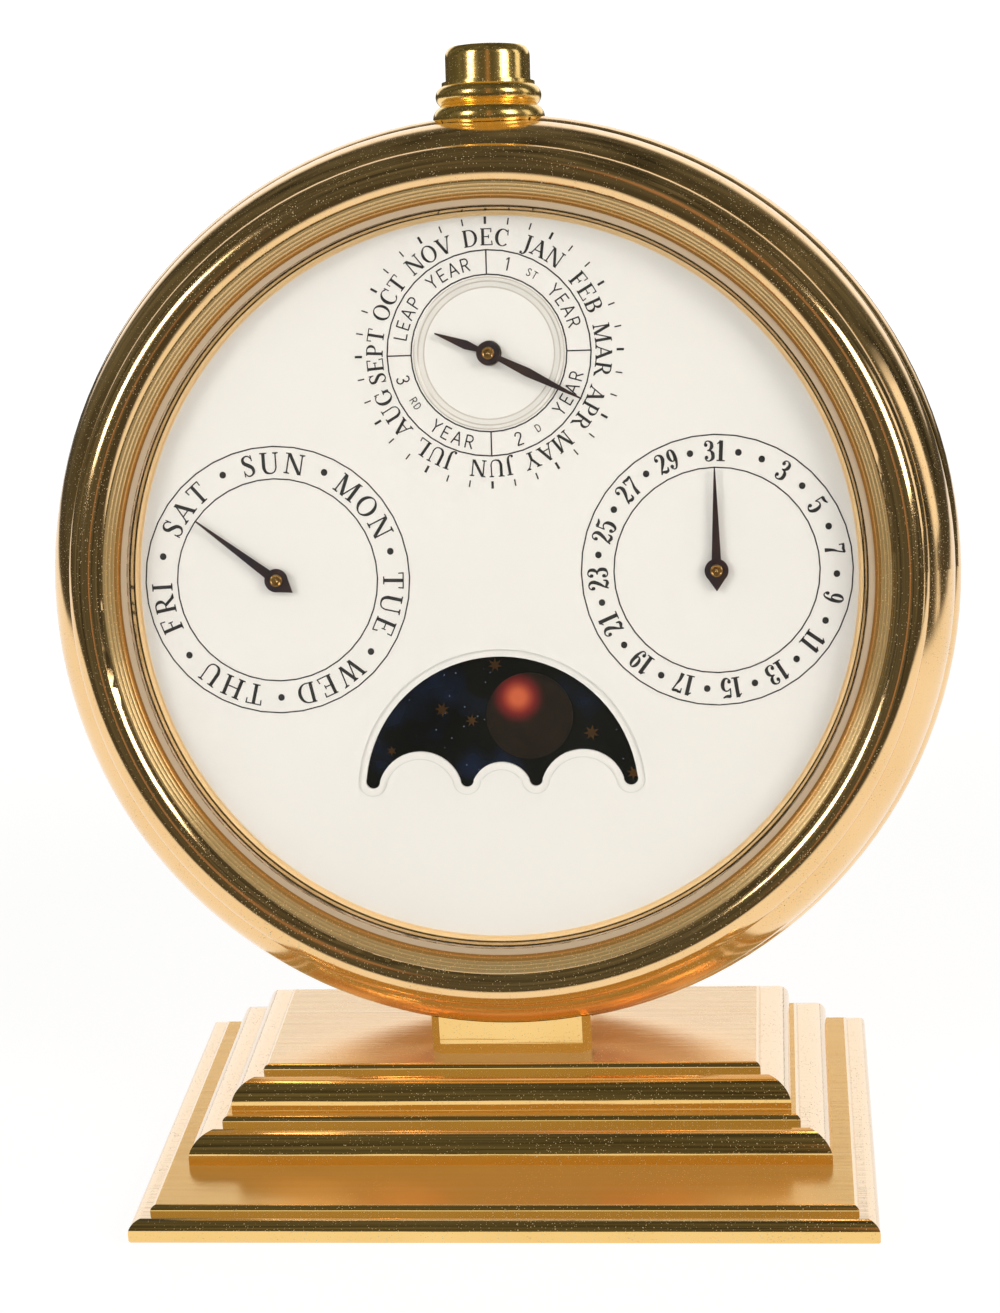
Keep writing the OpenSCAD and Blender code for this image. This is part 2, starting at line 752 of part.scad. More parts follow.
// Half outline of the collar: foot, lower ring, waist, upper ring and rim.
module collar_outline() {
    foot_h = 5;
    translate([0, foot_up - foot_h]) square([collar_r - 0.4, foot_h]);
    translate([0, foot_up]) square([collar_core_r, cup_floor - foot_up]);
    translate([collar_r - foot_tube_r, foot_up]) circle(r = foot_tube_r);
    translate([ring_r - ring_tube_r, ring_up]) circle(r = ring_tube_r);
    translate([0, cup_floor - 1]) square([button_r + 0.55, cup_top - cup_floor + 1]);
}

module push_button() {
    corner_r = 1.7;
    crown_r = 28;
    color(polished) along_button() rotate_extrude() difference() {
        intersection() {
            union() {
                translate([0, button_bottom]) square([button_r, button_top - corner_r - button_bottom]);
                translate([0, button_top - corner_r - eps]) square([button_r - corner_r, corner_r + eps]);
                translate([button_r - corner_r, button_top - corner_r]) circle(r = corner_r);
            }
            translate([0, button_top - crown_r]) circle(r = crown_r);
            translate([0, button_bottom]) square([button_r, 20]);
        }
        translate([0, button_bottom - 1]) square([button_r - 1.6, spring_top - button_bottom + 1]);
        translate([0, spring_top - 1]) square([stem_r + fit_c, 2.6]);
    }
}

module button_stem() {
    color(steel) along_button() {
        translate([0, 0, stem_end]) cylinder(r = stem_r, h = spring_top + 1.5 - stem_end);
        translate([0, 0, shank_end - 0.65]) cylinder(r = stem_r + 0.9, h = 0.6);
    }
}

// Compression spring: one ring of points for each step along the helix.
function spring_ring(i, steps, sides) =
    let (t = i / steps, a = 360 * spring_turns * t,
         low = spring_seat + spring_wire_r + 0.02,
         high = spring_top - spring_wire_r - 0.02,
         rise = low + t * (high - low))
    [for (k = [0 : sides - 1])
        let (b = 360 * k / sides, q = spring_r - spring_wire_r + spring_wire_r * cos(b))
            [q * cos(a), q * sin(a), rise + spring_wire_r * sin(b)]];

module button_spring() {
    sides = 6;
    steps = spring_turns * 20;
    points = [for (i = [0 : steps]) each spring_ring(i, steps, sides)];
    walls = [for (i = [0 : steps - 1], k = [0 : sides - 1])
        let (a = i * sides + k, b = i * sides + (k + 1) % sides) [a, a + sides, b + sides, b]];
    ends = [[for (k = [0 : sides - 1]) k], [for (k = [sides - 1 : -1 : 0]) steps * sides + k]];
    color(steel) along_button() polyhedron(points = points, faces = concat(walls, ends));
}

// ---- Advancing lever ----

module advance_lever() {
    pawl_r = 0.7;
    lever_w = 2;
    back = lever_z + lever_t;
    color(steel) in_case() difference() {
        union() {
            bar(back, lever_z, lever_pivot, lever_pad, lever_w);
            bar(back, lever_z, lever_pivot, day_pawl, lever_w);
            bar(back, lever_z, lever_pad, lever_elbow, lever_w);
            bar(back, lever_z, lever_elbow, date_pawl, lever_w);
            disc(lever_w + 0.2, back, lever_z, lever_pivot);
            disc(pad_r, back - eps, button_z - stem_r, lever_pad);
            for (p = [day_pawl, date_pawl]) disc(pawl_r, lever_z + eps, star_z, p);
        }
        disc(1 + run_c, back + 1, lever_z - 1, lever_pivot);
    }
}

module lever_screw() {
    color(steel) in_case() {
        disc(1, lever_z + lever_t + 0.1, plate_front_z + 0.2, lever_pivot);
        disc(1.8, lever_z - 0.1, plate_z, lever_pivot);
        disc(1.9, lever_z + lever_t + 0.7, lever_z + lever_t + 0.1, lever_pivot);
    }
}

// ---- Wheels and arbors ----

// Arbor with its front end through the dial and a thinner pivot in the bridge.
module arbor(at, front) {
    color(gilt) in_case() {
        disc(arbor_r, bridge_z - 0.1, -front, at);
        disc(pivot_r, bridge_z + bridge_t, bridge_z - 0.1 - eps, at);
    }
}

// A star wheel fixed on its arbor.
module star_wheel(at, z, n, tip, depth, turn) {
    color(gilt) in_case() difference() {
        union() {
            plate(z + wheel_t, z, at, turn) star(n, tip, depth);
            disc(arbor_r + 0.9, z + wheel_t + 0.4, z, at);
        }
        disc(arbor_r + 0.01, z + 2, z - 1, at);
    }
}

// Blade of a straight lance hand, with a short pointed tail.
module lance_outline(len) {
    tail = 2.7;
    tail_w = 1.1;
    polygon([[-hand_w / 2, 0], [-hand_w / 2, hub_r], [-0.09, len],
             [0.09, len], [hand_w / 2, hub_r], [hand_w / 2, 0]]);
    polygon([[-tail_w, 0], [-tail_w, -hub_r * 0.7], [0, -tail], [tail_w, -hub_r * 0.7], [tail_w, 0]]);
}

// Blade that starts narrow at the hub and is widest at two fifths of its length.
module leaf_outline(len) {
    root_w = 0.36;
    polygon([[-root_w, 0], [-root_w, hub_r], [-hand_w / 2, len * 0.42], [-0.09, len],
             [0.09, len], [hand_w / 2, len * 0.42], [root_w, hub_r], [root_w, 0]]);
}

module hand(at, z, turn, bore) {
    color(blued) in_case() difference() {
        union() {
            plate(-z, -z - hand_t, at, turn) children();
            disc(hub_r, -z, -z - hand_t, at);
        }
        disc(bore, 0, -3, at);
    }
}

module date_star() { star_wheel(date_at, star_z, 31, date_star_r, 1.1, 0); }
module date_arbor() { arbor(date_at, arbor_front); }
module date_hand() { hand(date_at, hand_z, 0, arbor_r + 0.01) lance_outline(hand_len); }
module day_star() { star_wheel(day_at, star_z, 7, day_star_r, 2.4, day_turn); }
module day_arbor() { arbor(day_at, arbor_front); }
module day_hand() { hand(day_at, hand_z, day_turn, arbor_r + 0.01) lance_outline(hand_len); }
module month_star() { star_wheel(month_at, month_star_z, 12, month_star_r, 1.2, month_turn); }

module month_pinion() {
    color(gilt) in_case() difference() {
        plate(train_b_z + pinion_t, train_b_z, month_at) gear(pinion_n, gear_m);
        disc(arbor_r + 0.01, 20, 0, month_at);
    }
}

module month_arbor() { arbor(month_at, arbor_front + 0.15); }
module month_hand() {
    hand(month_at, hand_z + 0.1, month_turn, arbor_r + 0.01) leaf_outline(hand_len + 0.2);
}

module idler_wheel() {
    half_tooth = 180 / wheel_n;
    color(gilt) in_case() difference() {
        union() {
            plate(train_b_z + wheel_t, train_b_z + 0.1, idler_at, 90 + half_tooth) gear(wheel_n, gear_m);
            plate(train_b_z + 0.1 + eps, train_a_z - 0.1, idler_at, 90) gear(pinion_n, gear_m);
        }
        disc(pivot_r + 0.21, 20, 0, idler_at);
    }
}

module idler_arbor() {
    color(steel) in_case() {
        disc(pivot_r, bridge_z + bridge_t, plate_front_z + 0.3, idler_at);
        disc(pivot_r + 0.2, bridge_z - 0.1, plate_z + 0.1, idler_at);
    }
}

module leap_wheel() {
    half_tooth = 180 / wheel_n;
    color(gilt) in_case() difference() {
        plate(train_a_z + wheel_t, train_a_z, month_at, 90 + half_tooth) gear(wheel_n, gear_m);
        disc(pipe_r + 0.01, 20, 0, month_at);
    }
}

module leap_pipe() {
    color(gilt) in_case() difference() {
        disc(pipe_r, train_a_z + wheel_t, -leap_hand_z - hand_t, month_at);
        disc(arbor_r + run_c, 20, -3, month_at);
    }
}

module leap_hand() { hand(month_at, leap_hand_z, leap_turn, pipe_r + 0.01) leaf_outline(leap_len); }

module moon_wheel() { star_wheel(moon_at, star_z, 59, moon_star_r, 0.9, 0); }
module moon_arbor() { arbor(moon_at, -moon_disc_z); }

module moon_disc() {
    color("#101a33") in_case() difference() {
        disc(moon_disc_r, moon_disc_z + moon_disc_t, moon_disc_z, moon_at);
        disc(arbor_r + 0.01, 20, 0, moon_at);
    }
}

module gilt_moons() {
    moon_t = 0.15;
    color(gilt) in_case() for (a = [0, 180])
        translate([moon_at[0], moon_at[1], -moon_disc_z]) rotate(-moon_turn - a)
            translate([0, moon_orbit, 0]) cylinder(r = moon_r, h = moon_t);
}

// ---- Jumpers: a foot, a thin arm and a beak that rides on the star's points ----

// Star centre, star radius, direction of the beak, level of the star.
JUMPERS = [[date_at, date_star_r, 180, star_z], [day_at, day_star_r, 180, star_z],
           [month_at, month_star_r, 180, month_star_z], [moon_at, moon_star_r, 60, star_z]];
beak_r = 0.5;
foot_along = 9.5;

module jumper_places() {
    for (j = JUMPERS) translate(j[0]) rotate(-j[2])
        translate([foot_along, j[1] + 0.15 + beak_r, 0]) children();
}

module jumper_springs() {
    color(steel) in_case() for (j = JUMPERS) translate(j[0]) rotate(-j[2]) difference() {
        y = j[1] + 0.15 + beak_r;
        union() {
            plate(j[3] + wheel_t, j[3]) {
                translate([0, y]) circle(r = beak_r);
                translate([0, y + beak_r - 0.4]) square([foot_along, 0.4]);
            }
            disc(1.6, j[3] + wheel_t, plate_z, [foot_along, y]);
        }
        disc(0.6 + run_c, j[3] + 2, plate_z - 1, [foot_along, y]);
    }
}

module jumper_screws() {
    color(steel) in_case() for (j = JUMPERS) translate(j[0]) rotate(-j[2])
        translate([foot_along, j[1] + 0.15 + beak_r, -j[3] - wheel_t]) rotate([180, 0, 0])
            cheese_head(0.6, j[3] + wheel_t - plate_z + 1.2, 1.2, 0.5);
}

module day_corrector() { corrector(day_corrector_at); }
module month_corrector() { corrector(month_corrector_at); }
module moon_corrector() { corrector(moon_corrector_at); }

foot_pad();
base_plate();
middle_tier();
top_tier();
tier_screws();
neck();
neck_screw();
case_screws();
case_band();
front_bezel();
crystal();
crystal_gasket();
dial_flange();
dial_plate();
movement_ring();
main_plate();
plate_screws();
pillars();
rear_bridge();
bridge_screws();
back_cover();
cover_screws();
button_collar();
push_button();
button_stem();
button_spring();
advance_lever();
lever_screw();
date_star();
date_arbor();
date_hand();
day_star();
day_arbor();
day_hand();
month_star();
month_pinion();
month_arbor();
month_hand();
idler_wheel();
idler_arbor();
leap_wheel();
leap_pipe();
leap_hand();
moon_wheel();
moon_arbor();
moon_disc();
gilt_moons();
jumper_springs();
jumper_screws();
day_corrector();
month_corrector();
moon_corrector();
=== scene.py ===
# %% [markdown]
# # A gilt desk calendar with a moon dial
# The solid model of the calendar, made in CAD, is loaded as a fixed frame: every metal piece keeps
# the size and place that it has there. What follows dresses it. The metal, enamel and glass get
# their finishes, and the dial gets what a printer and a gilder put on it.

# %% Tools
import json
import math

import bpy
import numpy as np
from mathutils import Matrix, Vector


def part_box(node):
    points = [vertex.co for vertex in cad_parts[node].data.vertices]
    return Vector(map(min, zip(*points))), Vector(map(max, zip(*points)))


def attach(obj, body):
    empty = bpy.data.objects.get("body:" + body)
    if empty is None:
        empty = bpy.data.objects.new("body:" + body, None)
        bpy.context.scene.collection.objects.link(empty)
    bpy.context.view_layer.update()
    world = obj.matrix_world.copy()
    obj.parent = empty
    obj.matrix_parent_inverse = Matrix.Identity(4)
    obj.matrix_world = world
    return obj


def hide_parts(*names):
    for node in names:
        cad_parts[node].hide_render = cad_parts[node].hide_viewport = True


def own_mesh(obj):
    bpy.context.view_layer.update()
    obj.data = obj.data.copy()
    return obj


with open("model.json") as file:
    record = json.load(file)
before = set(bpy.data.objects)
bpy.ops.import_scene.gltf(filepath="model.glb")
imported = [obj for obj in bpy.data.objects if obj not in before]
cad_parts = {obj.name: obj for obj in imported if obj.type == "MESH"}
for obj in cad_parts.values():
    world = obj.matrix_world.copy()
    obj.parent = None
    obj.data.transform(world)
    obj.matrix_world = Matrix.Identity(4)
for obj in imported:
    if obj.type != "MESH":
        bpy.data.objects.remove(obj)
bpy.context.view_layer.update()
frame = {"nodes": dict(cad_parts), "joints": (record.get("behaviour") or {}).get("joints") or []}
nodes = frame["nodes"]
print("pieces in the frame:", len(nodes))

# %% [markdown]
# ## The leaning case
# The case leans back on its stand, so everything on the dial is drawn in the case's own frame:
# X to the right, Y up the dial and Z out of its face, in millimetres. The hands' axis and the dial
# plate's box tell where that frame stands, and one function turns its points into metres.

# %% The case's own frame
MM = 0.001
hand_axis = next(j for j in frame["joints"] if j["name"] == "date_turn")["axis"]
OUT = -np.array(hand_axis, float) / np.linalg.norm(hand_axis)
UP = np.array([0.0, OUT[2], -OUT[1]])
ACROSS = np.array([1.0, 0.0, 0.0])
low, high = (np.array(c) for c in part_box("dial_plate"))
DIAL_T = 0.8
CENTRE = (low + high) / 2 + OUT * DIAL_T / 2 * MM
LEAN = math.atan2(OUT[2], -OUT[1])


def on_case(points):
    """Case frame to metres: centre + x * ACROSS + y * UP + z * OUT, for an array of (x, y, z) in mm."""
    p = np.asarray(points, float) * MM
    return CENTRE + p[:, :1] * ACROSS + p[:, 1:2] * UP + p[:, 2:3] * OUT


print("case leans", round(math.degrees(LEAN), 1), "degrees; its middle is at", CENTRE.round(4))

# %% [markdown]
# ## Camera
# A long lens from a little above keeps the stand's lines straight and the dial round.

# %% Camera
from mathutils import Matrix

camera = bpy.data.objects.new("camera", bpy.data.cameras.new("camera"))
bpy.context.scene.collection.objects.link(camera)
camera.data.sensor_fit = "VERTICAL"
camera.data.sensor_height = 36
camera.data.sensor_width = 36
camera.data.lens = 77.08
camera.data.clip_start = 0.01
camera.data.clip_end = 20
cam_right = np.array([0.99476, 0.08894, -0.05039])
cam_down = np.array([-0.01958, -0.31805, -0.94787])
cam_look = np.array([-0.10033, 0.94389, -0.31464])
pose = np.eye(4)
pose[:3, 0], pose[:3, 1], pose[:3, 2] = cam_right, -cam_down, -cam_look
pose[:3, 3] = np.array([37.31, -343.25, 183.39]) * MM
camera.matrix_world = Matrix(pose.tolist())
bpy.context.scene.camera = camera
bpy.context.scene.view_settings.view_transform = "Standard"
print("camera stands", round(float(np.linalg.norm(pose[:3, 3] - CENTRE)) * 1000), "mm from the dial")

# %% [markdown]
# ## Small tools for materials
# A material is a tree of nodes. One function adds a node with its settings and links, and another
# turns a colour as a painter would name it, in hex, into the linear light that Blender counts in.


# %% Colour and nodes
def hue(code):
    """sRGB hex to linear: a channel c becomes c / 12.92 when small and ((c + 0.055) / 1.055) ** 2.4 otherwise."""
    c = np.array([int(code[i:i + 2], 16) for i in (1, 3, 5)]) / 255
    return (*np.where(c <= 0.04045, c / 12.92, ((c + 0.055) / 1.055) ** 2.4), 1.0)


def add(tree, kind, *inputs, get=None, into=None, **settings):
    """Adds a node and gives back its output: the first one in use, or the one that get names.

    A kind such as "Math ADD" also sets the operation, or the data type of a Mix. The inputs are
    values, or sockets to link, for the node's inputs in use one after the other, or a dict of them
    by name. The output is linked into the socket `into`, if there is one.
    """
    kind, _, mode = kind.partition(" ")
    node = tree.nodes.new("ShaderNode" + kind)
    if mode:
        settings["data_type" if kind == "Mix" else "operation"] = mode
    for key, value in settings.items():
        setattr(node, key, value)
    in_use = [socket for socket in node.inputs if socket.enabled]
    named = inputs and isinstance(inputs[0], dict)
    for key, value in inputs[0].items() if named else enumerate(inputs):
        socket = node.inputs[key] if named else in_use[key]
        if isinstance(value, bpy.types.NodeSocket):
            tree.links.new(value, socket)
        else:
            socket.default_value = value
    output = next(socket for socket in node.outputs if socket.enabled) if get is None else node.outputs[get]
    if into is not None:
        tree.links.new(output, into)
    return output


def fresh(name):
    """A material with only its output node: the material, its tree and the socket for its surface."""
    material = bpy.data.materials.new(name)
    material.use_nodes = True
    tree = material.node_tree
    tree.nodes.clear()
    return material, tree, tree.nodes.new("ShaderNodeOutputMaterial").inputs[0]


def dress(material, *names):
    """Gives CAD nodes this material in every slot."""
    for name in names:
        for place in nodes[name].material_slots:
            place.material = material


print("gilt in linear light:", [round(v, 3) for v in hue("#E9BE74")[:3]])

# %% [markdown]
# ## Case and stand: polished gilt brass
# The rings, the stand's mouldings and the button are turned or milled from brass, buffed and
# gilded, then lacquered. A buffed metal shows the room in it, so nearly all that the eye sees is
# reflection: the colour only tints it. What tells it from chrome or plastic are the fine lines left
# by the lathe, a slow change of gloss and the dust that settles on it. The lathe's lines run round
# the case, so their noise depends only on the distance from the case's axis and on the height over
# the dial.


# %% Places to hang a pattern on
def round_case(tree, place):
    """Of a place in object coordinates: its radius from the case's axis and its height over the dial, in metres."""
    centred = add(tree, "VectorMath SUBTRACT", place, tuple(CENTRE))
    x, y, z = (add(tree, "VectorMath DOT_PRODUCT", centred, tuple(way)) for way in (ACROSS, UP, OUT))
    return add(tree, "VectorMath LENGTH", add(tree, "CombineXYZ", x, y)), z


def between(tree, value, low, high, soft):
    """1 where value lies from low to high and 0 outside, with edges that are soft wide."""
    rise = add(tree, "MapRange", value, low - soft, low + soft)
    fall = add(tree, "MapRange", value, high - soft, high + soft, 1.0, 0.0)
    return add(tree, "Math MULTIPLY", rise, fall)


def dust(tree, place, scale, size, share):
    """Specks: 1 within `size` of the nearest random point, in cells 1 / scale wide, in a share of them."""
    cells = add(tree, "TexVoronoi", {"Vector": place, "Scale": scale}).node.outputs
    near = add(tree, "MapRange", cells["Distance"], size * 0.6, size, 1.0, 0.0)
    pick = add(tree, "SeparateXYZ", cells["Color"])
    some = add(tree, "Math GREATER_THAN", pick, 1 - share)
    return add(tree, "Math MULTIPLY", near, some)


print("a pattern can ask for its place on the case, for a zone and for dust")


# %% Polished gilt brass
def polished_metal(name, colour, deep, gloss, line, lathe=True):
    """Buffed metal: two golds mixed by slow noise, roughness from gloss up, lines `line` strong and pale dust.

    It gives back the material, its tree, its surface socket and the inputs of its shader.
    """
    material, tree, surface = fresh(name)
    place = add(tree, "TexCoord", get="Object")
    # Lathe lines about 0.3 mm apart on the case, and buffing lines along X on the stand.
    if lathe:
        radius, height = round_case(tree, place)
        spot = add(tree, "CombineXYZ", radius, height)
    else:
        spot = add(tree, "Mapping", {"Vector": place, "Scale": (0.02, 1.0, 1.0)})
    lines = add(tree, "TexNoise", spot, 1500.0, 2.0, 0.6)
    slow = add(tree, "TexNoise", place, 70.0, 3.0)
    # Dust 0.1 mm across, one speck to each half millimetre, thicker in some places than in others.
    coat = add(tree, "MapRange", slow, 0.4, 0.62, 0.3, 1.0)
    specks = add(tree, "Math MAXIMUM", dust(tree, place, 3200.0, 0.24, 0.6), dust(tree, place, 1250.0, 0.13, 0.4))
    # Short hairs lie among it, 1 mm long and 0.05 mm wide.
    swirl = add(tree, "Mapping", {"Vector": place, "Rotation": (0.5, 0.7, 0.4), "Scale": (1.0, 0.09, 1.0)})
    specks = add(tree, "Math MAXIMUM", dust(tree, swirl, 1100.0, 0.05, 0.25), specks)
    specks = add(tree, "Math MULTIPLY", specks, coat)
    tint = add(tree, "Mix RGBA", slow, hue(colour), hue(deep))
    tint = add(tree, "Mix RGBA", specks, tint, hue("#F7E2B2"))
    metal = add(tree, "Math MULTIPLY_ADD", specks, -1.0, 1.0)
    rough = add(tree, "MapRange", slow, 0.3, 0.7, gloss, gloss * 2)
    rough = add(tree, "Math MULTIPLY_ADD", specks, 0.5, rough)
    bump = add(tree, "Bump", {"Strength": line, "Distance": 0.00008, "Height": lines})
    if lathe:
        # Painted shadow: a dark line is painted in the seam between bezel and band, 4.5 mm behind the dial's face.
        near_rim = between(tree, radius, 58 * MM, 60.3 * MM, 0.05 * MM)
        seam_shadow = between(tree, height, -4.62 * MM, -4.42 * MM, 0.03 * MM)
        seam_shadow = add(tree, "Math MULTIPLY", seam_shadow, near_rim)
        tint = add(tree, "Mix RGBA", seam_shadow, tint, hue("#2A1E10"))
    return material, tree, surface, {"Base Color": tint, "Metallic": metal, "Roughness": rough, "Normal": bump}


GILT = "#F5D09C", "#ECC082"
# Button and collar are buffed by hand, so they are a little softer, and their gilding is yellower.
for name, look, pieces in (("gilt_polished_brass", (*GILT, 0.08, 0.35), ["case_band"]),
                           ("gilt_buffed_button", ("#FFDC90", "#F8CC74", 0.12, 0.15),
                            ["button_collar", "push_button"])):
    gilt, tree, surface, skin = polished_metal(name, *look)
    add(tree, "BsdfPrincipled", skin, into=surface)
    dress(gilt, *pieces)
print("polished gilt on the band, buffed gilt on collar and button")

# %% [markdown]
# The bezel is one piece with the same polish on its rolls, but the flat land beside the glass is
# only wiped with fine paper, which keeps it pale and soft. The reeded slope next to it is half as
# bright as the rolls, with an amber foot, and the flange under the glass ends in a soft gold lip
# beside the dial. The radius from the axis tells them apart.

# %% Bezel
bezel_gilt, tree, surface, skin = polished_metal("gilt_polished_bezel", *GILT, 0.08, 0.1)
radius, _ = round_case(tree, add(tree, "TexCoord", get="Object"))
tint, rough, metal = skin["Base Color"], skin["Roughness"], 1.0
# A zone has two radii and the width of its edges in mm, a tint, a loss of metal and a gain in roughness.
for start, end, soft, colour, dull, haze in (
        (48.4, 49.2, 0.04, "#FFE6C6", 0.92, 0.42),  # the satin land
        (49.2, 51.3, 0.06, "#FFDA9C", 0.5, 0.06),  # the slope
        (49.2, 50.0, 0.06, "#EBB46A", 0.0, 0.0),  # its amber foot
        (47.8, 47.96, 0.03, "#4E3D1E", 0.0, 0.0),  # two fine grooves, painted dark for the shade that lies in them
        (48.2, 48.38, 0.03, "#4E3D1E", 0.0, 0.0),
        (47.0, 47.78, 0.03, "#FFDCA4", 0.8, 0.25)):  # the lip beside the dial
    zone = between(tree, radius, start * MM, end * MM, soft * MM)
    tint = add(tree, "Mix RGBA", zone, tint, hue(colour))
    rough = add(tree, "Math MULTIPLY_ADD", zone, haze, rough)
    metal = add(tree, "Math MULTIPLY_ADD", zone, -dull, metal)
metal = add(tree, "Math MINIMUM", skin["Metallic"], metal)
add(tree, "BsdfPrincipled", {**skin, "Base Color": tint, "Roughness": rough, "Metallic": metal}, into=surface)
dress(bezel_gilt, "front_bezel", "dial_flange")
print("satin land between radii 48.4 and 49.2 mm")

# %% [markdown]
# The stand's mouldings are polished, but its three flat faces are brushed lengthwise: many fine
# grooves along X that spread a reflection into a pale haze. Two brushed looks are common, a bump
# and a stretched highlight. Both are used: lines about 0.15 mm apart lift the surface a little, and
# the roughness rises where a face looks up at the height of one of the flats.

# %% Brushed flats of the stand
FLATS = (4.2, 9.1, 14.2)
stand_gilt, tree, surface, skin = polished_metal("gilt_brushed_stand", "#F6D08A", "#ECC072", 0.05, 0.2, lathe=False)
place = add(tree, "TexCoord", get="Object")
level = add(tree, "SeparateXYZ", place, get="Z")
normal = add(tree, "SeparateXYZ", add(tree, "NewGeometry", get="True Normal")).node.outputs
flats = 0.0
for z in FLATS:
    flats = add(tree, "Math ADD", add(tree, "Math COMPARE", level, z * MM, 0.06 * MM), flats)
flats = add(tree, "Math MULTIPLY", flats, add(tree, "Math GREATER_THAN", normal[2], 0.98))
stretch = add(tree, "Mapping", {"Vector": place, "Scale": (0.012, 1.0, 0.0)})
grooves = add(tree, "TexNoise", stretch, 3600.0, 4.0, 0.75)
broad = add(tree, "TexNoise", stretch, 900.0, 2.0)
brushed = add(tree, "MapRange", grooves, 0.3, 0.7, 0.1, 0.26)
rough = add(tree, "Mix FLOAT", flats, skin["Roughness"], brushed)
# Painted reflection: the top flat, over 12 mm up, is painted pale for the white paper it mirrors, and its grooves are
# bare; the two lower ones are painted yellower for the gilt around them that they mirror.
pale = add(tree, "Mix RGBA", broad, hue("#FFE3BC"), hue("#FBD2A0"))
gold = add(tree, "Mix RGBA", broad, hue("#FFD080"), hue("#F6BA50"))
high = add(tree, "Math GREATER_THAN", level, 12 * MM)
pale = add(tree, "Mix RGBA", high, gold, pale)
bare = add(tree, "Math MULTIPLY", grooves, add(tree, "Math MULTIPLY_ADD", high, 0.35, 0.25))
pale = add(tree, "Mix RGBA", bare, pale, hue("#FFEBCC"))
worn = add(tree, "Math MULTIPLY_ADD", high, 0.12, -0.42)
metal = add(tree, "Math MINIMUM", skin["Metallic"], add(tree, "Math MULTIPLY_ADD", flats, worn, 1.0))
# Painted reflection: the ledges and the ends of the mouldings, which face up or to the sides, are painted
# paler, a cream that stands for the bright paper they mirror, than the long faces in front and behind.
ends = add(tree, "MapRange", add(tree, "Math ABSOLUTE", normal[1]), 0.5, 0.2, 0, 0.85)
tint = add(tree, "Mix RGBA", ends, skin["Base Color"], hue("#EBD6BE"))
tint = add(tree, "Mix RGBA", flats, tint, pale)
lift = add(tree, "Math MULTIPLY", flats, 0.5)
scored = add(tree, "Bump", {"Strength": lift, "Distance": 0.00003, "Height": grooves, "Normal": skin["Normal"]})
skin = {"Base Color": tint, "Roughness": rough, "Normal": scored, "Metallic": metal}
add(tree, "BsdfPrincipled", skin, into=surface)
dress(stand_gilt, "base_plate", "middle_tier", "top_tier", "neck")
print("brushed flats at", FLATS, "mm")

# %% [markdown]
# ## Inside and behind: machined brass, steel, felt
# The movement's plates and wheels are brass straight from the lathe, with a visible grain and no
# gilding. Screws, springs and levers are hardened steel, drawn with a fine grain and a bluish
# grey. The back cover is turned: its grain runs round, as on any lathe face. Felt under the stand
# is short wool fibre, all tangle and no shine.


# %% Machined brass and steel
def grained_metal(name, colour, deep, low, high, scale, lathe=False):
    """Machined metal: a grain across X, or round the case's axis, drives its colour, roughness and relief."""
    material, tree, surface = fresh(name)
    place = add(tree, "TexCoord", get="Object")
    if lathe:
        spot = add(tree, "CombineXYZ", *round_case(tree, place))
    else:
        spot = add(tree, "Mapping", {"Vector": place, "Scale": (1.0, 0.08, 0.08)})
    grain = add(tree, "TexNoise", spot, scale, 4.0, 0.7)
    stain = add(tree, "TexNoise", place, 120.0, 3.0)
    tint = add(tree, "Mix RGBA", stain, hue(colour), hue(deep))
    rough = add(tree, "MapRange", grain, 0.3, 0.7, low, high)
    bump = add(tree, "Bump", {"Strength": 0.3, "Distance": 0.00003, "Height": grain})
    skin = {"Base Color": tint, "Metallic": 1.0, "Roughness": rough, "Normal": bump}
    add(tree, "BsdfPrincipled", skin, into=surface)
    return material


cover_gilt = grained_metal("gilt_turned_cover", "#EDC48C", "#DDAF70", 0.16, 0.34, 2600.0, lathe=True)
brass = grained_metal("machined_brass", "#D9B468", "#B88F45", 0.22, 0.42, 3000.0)
steel = grained_metal("hardened_steel", "#C3C6CA", "#9EA2A8", 0.18, 0.36, 3600.0)
dress(cover_gilt, "back_cover")
dress(brass, "movement_ring", "main_plate", "pillars", "rear_bridge", "date_star", "date_arbor", "day_star",
      "day_arbor", "month_star", "month_pinion", "month_arbor", "idler_wheel", "leap_wheel", "leap_pipe",
      "moon_wheel", "moon_arbor")
dress(steel, "tier_screws", "neck_screw", "case_screws", "plate_screws", "bridge_screws", "cover_screws",
      "button_stem", "button_spring", "advance_lever", "lever_screw", "idler_arbor", "jumper_springs",
      "jumper_screws", "day_corrector", "month_corrector", "moon_corrector")
print("machined metals on the movement")


# %% Felt pad
def finish(name, noises, colours, gloss, relief=None, gloss_from=0, more=None):
    """A finish of one or two noises, each (scale, detail) with roughness, lacunarity and distortion if need be.

    The first mixes two colours. The one numbered gloss_from swings the roughness over gloss, which
    may also be one number. The last lifts the surface by relief: strength and depth in metres.
    """
    material, tree, surface = fresh(name)
    place = add(tree, "TexCoord", get="Object")
    noises = [add(tree, "TexNoise", place, *noise) for noise in noises]
    skin = {"Base Color": add(tree, "Mix RGBA", noises[0], *map(hue, colours)), "Roughness": gloss, **(more or {})}
    if isinstance(gloss, tuple):
        skin["Roughness"] = add(tree, "MapRange", noises[gloss_from], 0, 1, *gloss)
    if relief:
        skin["Normal"] = add(tree, "Bump", {"Strength": relief[0], "Distance": relief[1], "Height": noises[-1]})
    add(tree, "BsdfPrincipled", skin, into=surface)
    return material


# Wool fibres are 0.03 mm thick and lie in clumps of half a millimetre.
felt = finish("wool_felt", [(6000.0, 5.0, 0.5, 2.0, 1.5), (1800.0, 2.0)], ("#1C2A22", "#44574A"), 0.95, (0.8, 0.0002),
              more={"Sheen Weight": 0.4})
dress(felt, "foot_pad")
print("felt under the stand")
